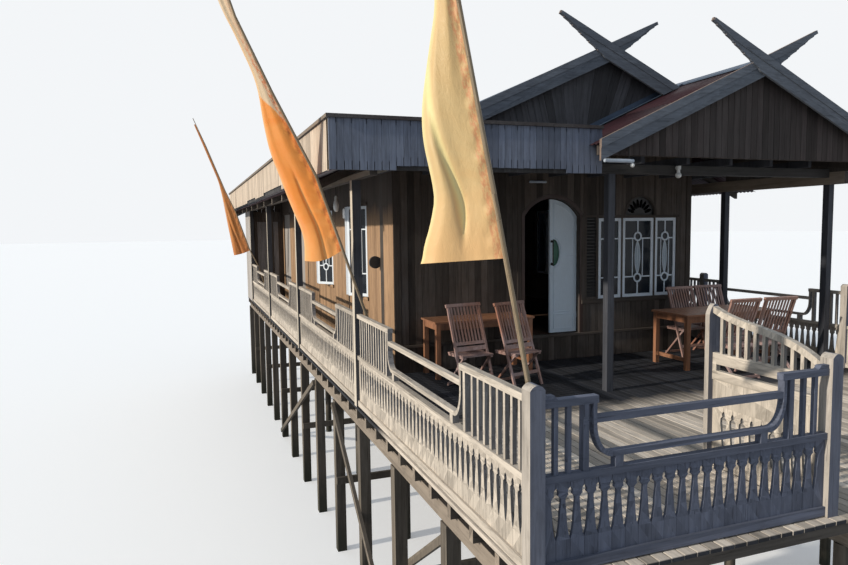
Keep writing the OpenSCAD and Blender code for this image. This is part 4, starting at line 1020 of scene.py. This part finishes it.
def leaf_trim(side, body, place):
    trims = Boards(f"door_mouldings_{side}", door_paint, 30)
    arch = LEAF_ARCH - ARCH_INSET
    arc = [PANEL_A0 + (PANEL_A1 - PANEL_A0) * i / 12 for i in range(13)]
    head = [(a, LEAF_H - LEAF_ARCH + math.sqrt(arch ** 2 - a ** 2)) for a in arc]
    foot, knee, sill, low, high = PANEL_B
    reach = (GLASS_RB + PANEL_GAP) * 0.994
    upper, lower = oval(PANEL_GAP, high, GLASS_B + reach), oval(PANEL_GAP, GLASS_B - reach, low)
    for panel in (head + [(PANEL_A1, high)] + upper[::-1],
                  [(PANEL_A1, low), (PANEL_A1, sill), (PANEL_A0, sill)] + lower[::-1],
                  [(PANEL_A0, foot), (PANEL_A1, foot), (PANEL_A1, knee), (PANEL_A0, knee)]):
        trims.moulding(panel, place, 0.013, 0.009, closed=True)
    trims.moulding(oval(0.008, GLASS_B - 0.205, GLASS_B + 0.205, 24), place, 0.018, 0.010)
    trims.build("white_paint", (), body)
    handle = Turned(f"door_handle_{side}", black_iron)

    def at(b, out):
        return place @ Vector((HANDLE_A, b, out))

    ends = (GLASS_B - HANDLE_HALF, GLASS_B + HANDLE_HALF)
    handle.rod(at(ends[0], HANDLE_OUT), at(ends[1], HANDLE_OUT), 0.0085, 0.003)
    for b in ends:
        handle.rod(at(b, 0), at(b, HANDLE_OUT + 0.004), 0.0075, 0.002)
        handle.rod(at(b, 0), at(b, 0.005), 0.019, 0.002)
        handle.ball(at(b + math.copysign(0.012, b - GLASS_B), HANDLE_OUT), 0.013)
    handle.build("dark_trim", body)


right_low = house_box("door_leaf_right")[0]
left_low, left_high = house_box("door_leaf_left")
leaf_trim("right", "right_leaf", Matrix.Translation((right_low.x, 0, right_low.z)) @ plane_y(right_low.y))
leaf_trim("left", "left_leaf", Matrix(((0, 0, 1, left_high.x), (-1, 0, 0, left_high.y), (0, 1, 0, left_low.z),
                                       (0, 0, 0, 1))))

# Windows: each sash has a ring near its top and foot, short bars, and a pointed etched panel between.
# SASH_OFF is how far the face of a sash is from the wall's, and TUCK how far a bar runs into the sash
SASH_BAR, SASH_T, SASH_OFF, TUCK = 0.045, 0.040, 0.005, 0.002
GLASS_DEPTH, GLASS_T = 0.016, 0.006
RING_R = 0.060
HALF_MEETING, MEETING = 0.004, 0.008
BACK_SASH_W = 0.696
window_bars = Boards("window_bars", white_paint, 31)
window_panels = Boards("window_panels", etched_glass, 32)


def fill_sash(place, a0, a1, z0, z1):
    middle, wide, tall = (a0 + a1) / 2, a1 - a0 - 2 * SASH_BAR, z1 - z0
    top, foot = z1 - 0.235 * tall, z0 + 0.24 * tall
    bar_top, bar_foot = top - 0.028, foot + 0.018
    side = 0.045 + 0.10 * wide

    def strip(start, end, width=0.020, thick=0.011):
        window_bars.moulding((start, end), place, width, thick)

    for ring, bar in ((top, bar_top), (foot, bar_foot)):
        turns = [t / 14 * math.pi for t in range(28)]
        circle = [(middle + RING_R * math.cos(t), ring + RING_R * math.sin(t)) for t in turns]
        window_bars.moulding(circle, place, 0.024, 0.013, closed=True)
        strip((a0 + SASH_BAR - TUCK, bar), (middle - RING_R, bar))
        strip((middle + RING_R, bar), (a1 - SASH_BAR + TUCK, bar))
    strip((middle, top + RING_R), (middle, z1 - SASH_BAR + TUCK))
    strip((middle, z0 + SASH_BAR - TUCK), (middle, foot - RING_R))
    for a in (middle - side, middle + side):
        strip((a, bar_foot), (a, bar_top), 0.014, 0.009)
    lens_z0, lens_z1 = foot + RING_R + 0.004, top - RING_R - 0.004
    lens = [(0.52 * side * math.sin(math.pi * i / 16) ** 0.6, lens_z0 + (lens_z1 - lens_z0) * i / 16)
            for i in range(17)]
    outline = [(middle + a, z) for a, z in lens] + [(middle - a, z) for a, z in lens[15:0:-1]]
    window_panels.add(outline, place, 0.003, 0.0005)
    window_bars.moulding(outline, place, 0.008, 0.007, closed=True)
    strip((middle, lens_z0), (middle, lens_z1), 0.006, 0.006)


for a0, a1 in SASHES:
    fill_sash(plane_y(FRONT_Y - SASH_OFF + GLASS_DEPTH), a0, a1, SASH_Z0, SASH_Z1)
AJAR = Matrix.Rotation(math.radians(33), 4, "Z")
MIRROR_Y = Matrix.Scale(-1, 4, (0, 1, 0))
land_panes = plane_x(HOUSE_X1 - SASH_OFF - SASH_T + GLASS_DEPTH + GLASS_T, 1)
for w0, w1 in SIDE_WINDOWS:
    leaf = (w1 - w0) / 2 - HALF_MEETING
    for hinge, turn, shut in ((w0, Matrix(), w0), (w1, MIRROR_Y, w0 + leaf + MEETING)):
        place = Matrix.Translation((HOUSE_X0, hinge, 0)) @ turn @ AJAR @ plane_x(GLASS_DEPTH)
        fill_sash(place, 0, leaf, SIDE_Z0, SIDE_Z1)
        fill_sash(land_panes, shut, shut + leaf, SIDE_Z0, SIDE_Z1)
for i in (0, 1):
    a0 = BACK_WINDOW[0] + i * (BACK_WINDOW[1] - BACK_WINDOW[0] + MEETING) / 2
    fill_sash(plane_y(BACK_Y - SASH_OFF - SASH_T + GLASS_DEPTH + GLASS_T, 1), a0, a0 + BACK_SASH_W,
              SIDE_Z0, SASH_Z1)
window_bars.build("white_paint")
window_panels.build("window_glass")

# Casings, sills and the slats of the louvre
CASING_W, CASING_OUT = 0.05, 0.055
VENT_EDGE = 0.012
trims = Boards("front_casings", trim_wood, 33)
casing_x0, casing_x1 = LOUVRE[0] - CASING_OUT, SASHES[-1][1] + CASING_OUT
casing_z0, casing_z1 = SASH_Z0 - 0.006, SASH_Z1 + 0.012
trims.rect(front_plane, casing_x0, casing_x1, casing_z1, VENT_Z - 0.004, 0.024, along=LEVEL)
trims.rect(front_plane, casing_x0, casing_x1, SASH_Z0 - 0.066, casing_z0, 0.040, along=LEVEL)
for a in (casing_x0, casing_x1 - CASING_W):
    trims.rect(front_plane, a, a + CASING_W, casing_z0, casing_z1, 0.022)
turns = [t / 18 * math.pi for t in range(19)]
arch_r = VENT_R + VENT_EDGE
trims.moulding([(VENT_X + arch_r * math.cos(t), VENT_Z + arch_r * math.sin(t)) for t in turns],
               front_plane, 0.028, 0.022)
for a in (WALL_X0 - 0.006, WALL_X1 - 0.084):
    trims.rect(front_plane, a, a + 0.09, FRONT_Z0, under_main(HOUSE_X0) - 0.01, 0.024)
for a in (DOOR_X0 - 0.115, DOOR_X1 + 0.055):
    trims.rect(front_plane, a, a + 0.06, FRONT_Z0, EAVE_Z1 - 0.2, 0.020)
for z in (SIDE_Z0 - 0.05, SIDE_Z1 + 0.004):
    for w0, w1 in SIDE_WINDOWS:
        trims.rect(plane_x(HOUSE_X1, 1), w0 - CASING_W, w1 + CASING_W, z, z + 0.046, 0.024, along=LEVEL)
    low = min(z, SASH_Z1 + 0.004)
    trims.rect(back_plane, BACK_WINDOW[0] - CASING_W, BACK_WINDOW[1] + CASING_W, low, low + 0.046, 0.024,
               along=LEVEL)
trims.build("brown_boards")

SLAT_STEP = 0.048
slats = Boards("louvre_slats", dark_trim, 34)
for k in range(round((LOUVRE[3] - LOUVRE[2]) / SLAT_STEP)):
    z = LOUVRE[2] + SLAT_STEP * (k + 0.5)
    ends = [(x, FRONT_Y - 0.002, z) for x in (LOUVRE[0] + 0.002, LOUVRE[1] - 0.002)]
    slats.bar(*ends, 0.034, 0.006, (0, 0.6, 0.8))
slats.build("dark_trim")

# Corner boards and window casings of the river wall. The corner starts CORNER_Y before the front
CORNER_BOARDS = ((0.0, 0.205), (0.212, 0.455))
CORNER_Y, DARK_STRIP = 0.02, (0.46, 0.62)
CORNER_FOOT = 0.004
CASING_Z0, CASING_Z1 = 0.004, 0.055
river_trims = Boards("river_corner_boards", river_wood, 35)
dark_strips = Boards("river_joint_boards", front_wood, 36)
wall_face = plane_x(HOUSE_X0 - CLAD_T + 0.001)
for a, b in CORNER_BOARDS:
    river_trims.rect(wall_face, FRONT_Y + a - CORNER_Y, FRONT_Y + b - CORNER_Y, CORNER_FOOT, wall_high.z,
                     0.016)
dark_strips.rect(wall_face, FRONT_Y + DARK_STRIP[0], FRONT_Y + DARK_STRIP[1], CORNER_FOOT, wall_high.z, 0.008)
for w0, w1 in SIDE_WINDOWS:
    a, b = w0 - 0.06, w1 + 0.06
    river_trims.rect(wall_face, a, b, SIDE_Z0 - CASING_Z1, SIDE_Z0 - CASING_Z0, 0.026, along=LEVEL)
    river_trims.rect(wall_face, a, b, SIDE_Z1 + CASING_Z0, SIDE_Z1 + CASING_Z1, 0.018, along=LEVEL)
for y0, y1 in SHUTTERS:
    river_trims.rect(wall_face, y0 - CASING_W, y1 + CASING_W, SHUTTER_Z1 + CASING_Z0, SHUTTER_Z1 + CASING_Z1,
                     0.018, along=LEVEL)
river_trims.build("tan_boards")
dark_strips.build("tan_boards")

# The near corner of the eaves ends in an upright board, bright from painted sunlight on its river face
corner_board = Boards("eave_corner_board", fascia_wood, 37)
corner_board.rect(plane_x(fascia_low.x + 0.001), fascia_low.y + 0.002, fascia_low.y + 0.062,
                  EAVE_Z0 - 0.004, EAVE_Z1 - 0.002, 0.001)
corner_board.build("tan_boards")

# Lamps: tubes under the porch gable and over the door, and a bulb on a stem under the river eave
FIXING_R = 0.006
lamps = Turned("lamp_tubes", tube_white)
fixings = Turned("lamp_fixings", black_iron, 10)
GABLE_TUBE_Y, GABLE_TUBE_Z = PORCH_GABLE_Y - 0.03, 2.65
lamps.rod((2.485, GABLE_TUBE_Y, GABLE_TUBE_Z), (2.86, GABLE_TUBE_Y, GABLE_TUBE_Z), 0.021, 0.005)
for x in (2.54, 2.80):
    fixings.rod((x, GABLE_TUBE_Y, GABLE_TUBE_Z), (x, GABLE_TUBE_Y, 2.80), FIXING_R)
DOOR_TUBE_Y, DOOR_TUBE_Z = FRONT_Y - 0.05, 2.585
lamps.rod((2.85, DOOR_TUBE_Y, DOOR_TUBE_Z), (3.12, DOOR_TUBE_Y, DOOR_TUBE_Z), 0.017, 0.004)
for x in (2.89, 3.08):
    fixings.rod((x, DOOR_TUBE_Y, DOOR_TUBE_Z), (x, FRONT_Y, DOOR_TUBE_Z), FIXING_R)
EAVE_BULB = Vector((0.41, 6.735, 2.325))
fixings.rod(EAVE_BULB + UP * 0.120, EAVE_BULB + UP * 0.414, 0.004)
bulbs = Turned("lamp_bulbs", lamp_glass)
bulbs.add(((0.004, -0.110), (0.022, -0.104), (0.036, -0.080), (0.043, -0.040), (0.042, 0.000), (0.034, 0.040),
           (0.024, 0.062), (0.022, 0.110), (0.016, 0.128), (0.004, 0.132)), EAVE_BULB)
bulbs.ball((2.845, GABLE_TUBE_Y, GABLE_TUBE_Z - 0.046), 0.024)
lamps.build("lamp_white")
fixings.build("black_plastic")
bulbs.build("lamp_white")

# A white cupboard for a meter, on the river wall, with a door that stands out from it
CUPBOARD, CUPBOARD_DOOR = (7.52, 7.84, 2.13, 2.30), (7.535, 7.825, 2.145, 2.285)
meter = Boards("meter_box", lamp_glass, 38)
meter.rect(wall_face, *CUPBOARD, 0.085, 0.008)
meter.rect(wall_face @ Matrix.Translation((0, 0, 0.084)), *CUPBOARD_DOOR, 0.006)
meter.build("lamp_white")

# Banners: long pointed cloths, sewn along a pole and folded by the wind. A path gives the pole in
# x and z before it leans. free is the other edge from its foot up, and belly how far that edge
# stands back from the pole's plane, as a share of the width. A crest is a fold: it starts and ends
# at two places on the cloth, and has a width
POLES = (
    dict(path=((0.300, 0), (0.100, 1.060), (-0.130, 2.140), (-0.350, 3.150), (-0.560, 3.950),
               (-0.800, 4.750)),
         y=0.285, lean=2.0, z0=1.78, z1=4.60, foot=0.0,
         free=((-0.565, 1.765), (-0.55, 1.81), (-0.53, 1.95), (-0.48, 2.03), (-0.49, 2.19), (-0.54, 2.35),
               (-0.56, 2.49), (-0.56, 2.59), (-0.51, 2.94), (-0.475, 3.15), (-0.625, 3.95), (-0.79, 4.60)),
         belly=0.56, crest=((0.97, 0.36), (0.50, 0.085), 0.045), fold=0.026, flat=(0.56, 2.95),
         tints=dict(colour=(0.74, 0.53, 0.25), deep=(0.72, 0.47, 0.20), sleeve=(0.70, 0.29, 0.13),
                    low=(0.86, 0.52, 0.23), painted_highlight=(1.0, 0.86, 0.40), sleeve_w=0.055)),
    dict(path=((0.440, 0), (0.075, 1.040), (-0.215, 1.790), (-0.505, 2.550), (-0.940, 3.340), (-1.260, 3.970),
               (-1.560, 4.800)),
         y=4.063, lean=14.3, z0=1.79, z1=4.65, foot=-0.05,
         free=((-0.61, 1.69), (-0.615, 1.94), (-0.69, 2.11), (-0.79, 2.35), (-0.88, 2.59), (-0.96, 2.78),
               (-1.03, 3.11), (-1.06, 3.33), (-1.12, 3.52), (-1.21, 3.69), (-1.26, 3.81), (-1.37, 4.00),
               (-1.62, 4.65)),
         belly=0.66, crest=((0.55, 0.24), (0.42, 0.00), 0.05), fold=0.030, flat=(0.54, 3.20),
         tints=dict(colour=(1.0, 0.31, 0.04), deep=(1.0, 0.40, 0.09), sleeve=(0.80, 0.19, 0.04),
                    low=(0.95, 0.42, 0.12), painted_highlight=(1.0, 0.56, 0.20), sleeve_w=0.04,
                    upper=((0.86, 0.66, 0.44), 1.45, 0.42))),
    dict(path=((0.400, 0), (0.075, 1.030), (-0.140, 1.470), (-0.475, 2.470), (-0.730, 3.040), (-1.150, 4.120),
               (-1.440, 4.800)),
         y=15.206, lean=11.3, z0=1.45, z1=4.65, foot=-0.02,
         free=((-0.54, 1.33), (-0.68, 2.15), (-0.80, 2.89), (-0.88, 3.26), (-1.21, 4.12), (-1.42, 4.65)),
         belly=0.35, crest=((0.80, 0.30), (0.50, 0.03), 0.06), fold=0.03, flat=(0.46, 3.40),
         tints=dict(colour=(0.66, 0.24, 0.05), deep=(0.60, 0.27, 0.09), sleeve=(0.42, 0.15, 0.05),
                    low=(0.62, 0.21, 0.05), sleeve_w=0.05)),
)
CAMERA_AT = Vector((-1.7645, -3.1545, 1.9578))
SLEEVE_IN = Vector((0.010, 0))
CLOTH_ROWS, CLOTH_COLUMNS = 190, 36


def along_path(points, share):
    """The point at a share of a broken line's length."""
    lengths = [(Vector(b) - Vector(a)).length for a, b in zip(points, points[1:])]
    left = share * sum(lengths)
    for (a, b), length in zip(zip(points, points[1:]), lengths):
        if left <= length:
            return Vector(a).lerp(Vector(b), left / length)
        left -= length
    return Vector(points[-1])


def along_curve(points, share):
    """The same with the line's corners rounded off."""
    reach = min(0.035, share, 1 - share)
    near = [along_path(points, share + reach * step) for step in (-1, -0.5, 0, 0.5, 1)]
    return sum(near, Vector((0, 0))) / len(near)


def at_height(path, z):
    for (xa, za), (xb, zb) in zip(path, path[1:]):
        if z <= zb:
            return Vector((xa + (xb - xa) * (z - za) / (zb - za), z))
    return Vector(path[-1])


def ridge(t, share, start, end, width):
    """Height of a rounded fold along a line between two places on the cloth, from 0 to 1."""
    start, end, here = Vector(start), Vector(end), Vector((t, share))
    run = end - start
    at = max(0, min(1, (here - start).dot(run) / run.length_squared))
    return math.exp(-((here - start - run * at).length / width) ** 2)


def leaning(spec):
    return Matrix.Rotation(math.radians(spec["lean"]), 3, "X")


def leaned(spec, flat):
    """Where a point in x and z is once its pole leans."""
    return Vector((0, spec["y"], 0)) + leaning(spec) @ Vector((flat.x, 0, flat.y))


def cloth_depth(t, share, crest, width, spec, phases):
    """How far the cloth stands back from the pole's plane. t is the share of the way from the pole
    to the free edge, and share that up the cloth."""
    slack = min(1, width / 0.25)
    wave = math.sin(t * 5.5 + share * 4.5 + phases[0]) * 0.50
    wave += math.sin(t * 10.0 - share * 9.0 + phases[1]) * 0.24
    wave += math.sin(share * 21.0 + t * 2.5 + phases[2]) * 0.12 * t
    wave += 1.1 * crest * (1 - t * 0.3)
    wave -= 0.5 * ridge(t, share, (1.0, 0.16), (0.30, 0.02), 0.07)
    wrinkle = math.sin(share * 118 + phases[3] + 9 * t) + 0.7 * math.sin(share * 187 + phases[4] - 14 * t)
    wrinkle += 0.8 * math.sin(share * 67 + phases[5] + 5 * t)
    pucker = wrinkle * 0.15 * math.exp(-((t - 0.09) / 0.09) ** 2)
    curl = max(0, (t - 0.80) / 0.20) ** 2 * 0.055
    back = spec["belly"] * width * t ** 1.15 + curl * slack
    return spec["fold"] * (wave * min(1, t * 2.2) + pucker) * slack + back


def banner(name, spec, seed):
    source = random.Random(seed)
    phases = [source.uniform(0, 6.28) for _ in range(6)]
    points, grain, highlight_marks = [], [], []
    length = sum((Vector(b) - Vector(a)).length for a, b in zip(spec["free"], spec["free"][1:]))
    for i in range(CLOTH_ROWS + 1):
        share = i / CLOTH_ROWS
        inner = at_height(spec["path"], spec["z0"] + share * (spec["z1"] - spec["z0"])) - SLEEVE_IN
        outer = along_curve(spec["free"], share)
        width = (outer - inner).length
        for k in range(CLOTH_COLUMNS + 1):
            t = k / CLOTH_COLUMNS
            flat = inner.lerp(outer, t)
            flat.y += spec["foot"] * math.sin(math.pi * t) * max(0, 1 - share * 9)
            crest = ridge(t, share, *spec["crest"])
            place = leaned(spec, flat)
            away = 1 + cloth_depth(t, share, crest, width, spec, phases) / (place.y - CAMERA_AT.y)
            points.append(ORIGIN + CAMERA_AT + (place - CAMERA_AT) * away)
            grain.append((t * width, share * length))
            # Where the painted highlight goes: crests of folds, and the free edge below its top quarter
            highlight_marks.append(max(crest, 1 - (1 - t) * width / 0.035 - max(0, share - 0.75) * 9))
    faces = []
    for i in range(CLOTH_ROWS):
        for k in range(CLOTH_COLUMNS):
            a = i * (CLOTH_COLUMNS + 1) + k
            faces.append([a, a + 1, a + CLOTH_COLUMNS + 2, a + CLOTH_COLUMNS + 1])
    mesh = make_mesh(name, points, faces, grain, fold=highlight_marks)
    mesh.shade_smooth()
    thing = piece(mesh, cloth(name + "_cloth", **spec["tints"]), ("banners",))


for i, spec in enumerate(POLES):
    banner(f"banner_{i + 1}", spec, 20 + i)

# Nodes of the bamboo poles
NODE_FOOT, NODE_TOP, NODE_AHEAD = 0.35, 4.5, 0.02
nodes = Turned("bamboo_nodes", bamboo, 14)
for spec in POLES:
    z = NODE_FOOT
    while z < NODE_TOP:
        here, ahead = at_height(spec["path"], z), at_height(spec["path"], z + NODE_AHEAD)
        r = 0.0172 - 0.0018 * z
        profile = ((r - 0.002, -0.006), (r + 0.0022, -0.002), (r + 0.0012, 0), (r + 0.0022, 0.002),
                   (r - 0.002, 0.006))
        nodes.add(profile, leaned(spec, here), leaning(spec) @ Vector((ahead.x - here.x, 0, NODE_AHEAD)))
        z += 0.36 - 0.03 * z
nodes.build("bamboo")

# Stage: the floor looks pale to the camera and still takes the house's shadow
scene = bpy.context.scene
FLOOR_GLOW = 0.30
floor_shader = Shader("stage")
seen_by_camera = floor_shader.seen()
floor_colour = floor_shader.mix(seen_by_camera, (0.36, 0.36, 0.36), (0.80, 0.80, 0.79))
floor_shader.finish(Base_Color=floor_colour, Roughness=0.9)
surface = floor_shader.surface.outputs[0]
glow = floor_shader.add("Emission", {"Color": (0.95, 0.97, 1.0), "Strength": FLOOR_GLOW})
both = floor_shader.add("AddShader", {0: surface, 1: glow.outputs[0]})
shown = floor_shader.add("MixShader", {0: seen_by_camera, 1: surface, 2: both.outputs[0]})
floor_shader.put(floor_shader.tree.nodes["Material Output"].inputs["Surface"], shown.outputs[0])
bpy.ops.mesh.primitive_plane_add(size=600, location=(0, 0, -0.002))
stage = bpy.context.object
stage.name = "stage"
stage.data.materials.append(floor_shader.material)

# Soft light from all round, and a pale background for the camera, glass and gloss
world = bpy.data.worlds.new("soft_light")
scene.world = world
sky = Shader(world=world)
sky.tree.nodes.clear()
light = sky.add("Background", {"Color": (0.77, 0.90, 1.06), "Strength": 0.48})
backdrop = sky.add("Background", {"Color": (0.90, 0.92, 0.94), "Strength": 1.0})
either = sky.add("MixShader", {0: sky.seen(), 1: light.outputs[0], 2: backdrop.outputs[0]})
sky.add("OutputWorld", {"Surface": either.outputs[0]})

# A low lamp from the river side
SUN_AZIMUTH, SUN_HEIGHT = math.radians(183.5), math.radians(20.5)
sun_data = bpy.data.lights.new("sun", "SUN")
sun_data.energy = 3.3
sun_data.color = (1.0, 0.92, 0.80)
sun_data.angle = math.radians(1.2)
sun = put_in_scene("sun", sun_data)
level = math.cos(SUN_HEIGHT)
towards_sun = Vector((math.cos(SUN_AZIMUTH) * level, math.sin(SUN_AZIMUTH) * level, math.sin(SUN_HEIGHT)))
sun.rotation_euler = towards_sun.to_track_quat("Z", "Y").to_euler()

# The photo's camera
CAMERA_YAW, CAMERA_PITCH, CAMERA_ROLL = 0.3458, 0.0822, -0.0134
camera_data = bpy.data.cameras.new("camera")
camera_data.sensor_width = 36
camera_data.lens = 28.16
camera_data.clip_end = 500
camera = put_in_scene("camera", camera_data)
scene.camera = camera
level = math.cos(CAMERA_PITCH)
forward = Vector((math.sin(CAMERA_YAW) * level, math.cos(CAMERA_YAW) * level, -math.sin(CAMERA_PITCH)))
right = Vector((math.cos(CAMERA_YAW), -math.sin(CAMERA_YAW), 0))
above = right.cross(forward)
roll_right = right * math.cos(CAMERA_ROLL) + above * math.sin(CAMERA_ROLL)
roll_above = above * math.cos(CAMERA_ROLL) - right * math.sin(CAMERA_ROLL)
turn = Matrix((roll_right, roll_above, -forward)).transposed().to_4x4()
camera.matrix_world = Matrix.Translation(CAMERA_AT + ORIGIN) @ turn

scene.view_settings.view_transform = "Standard"
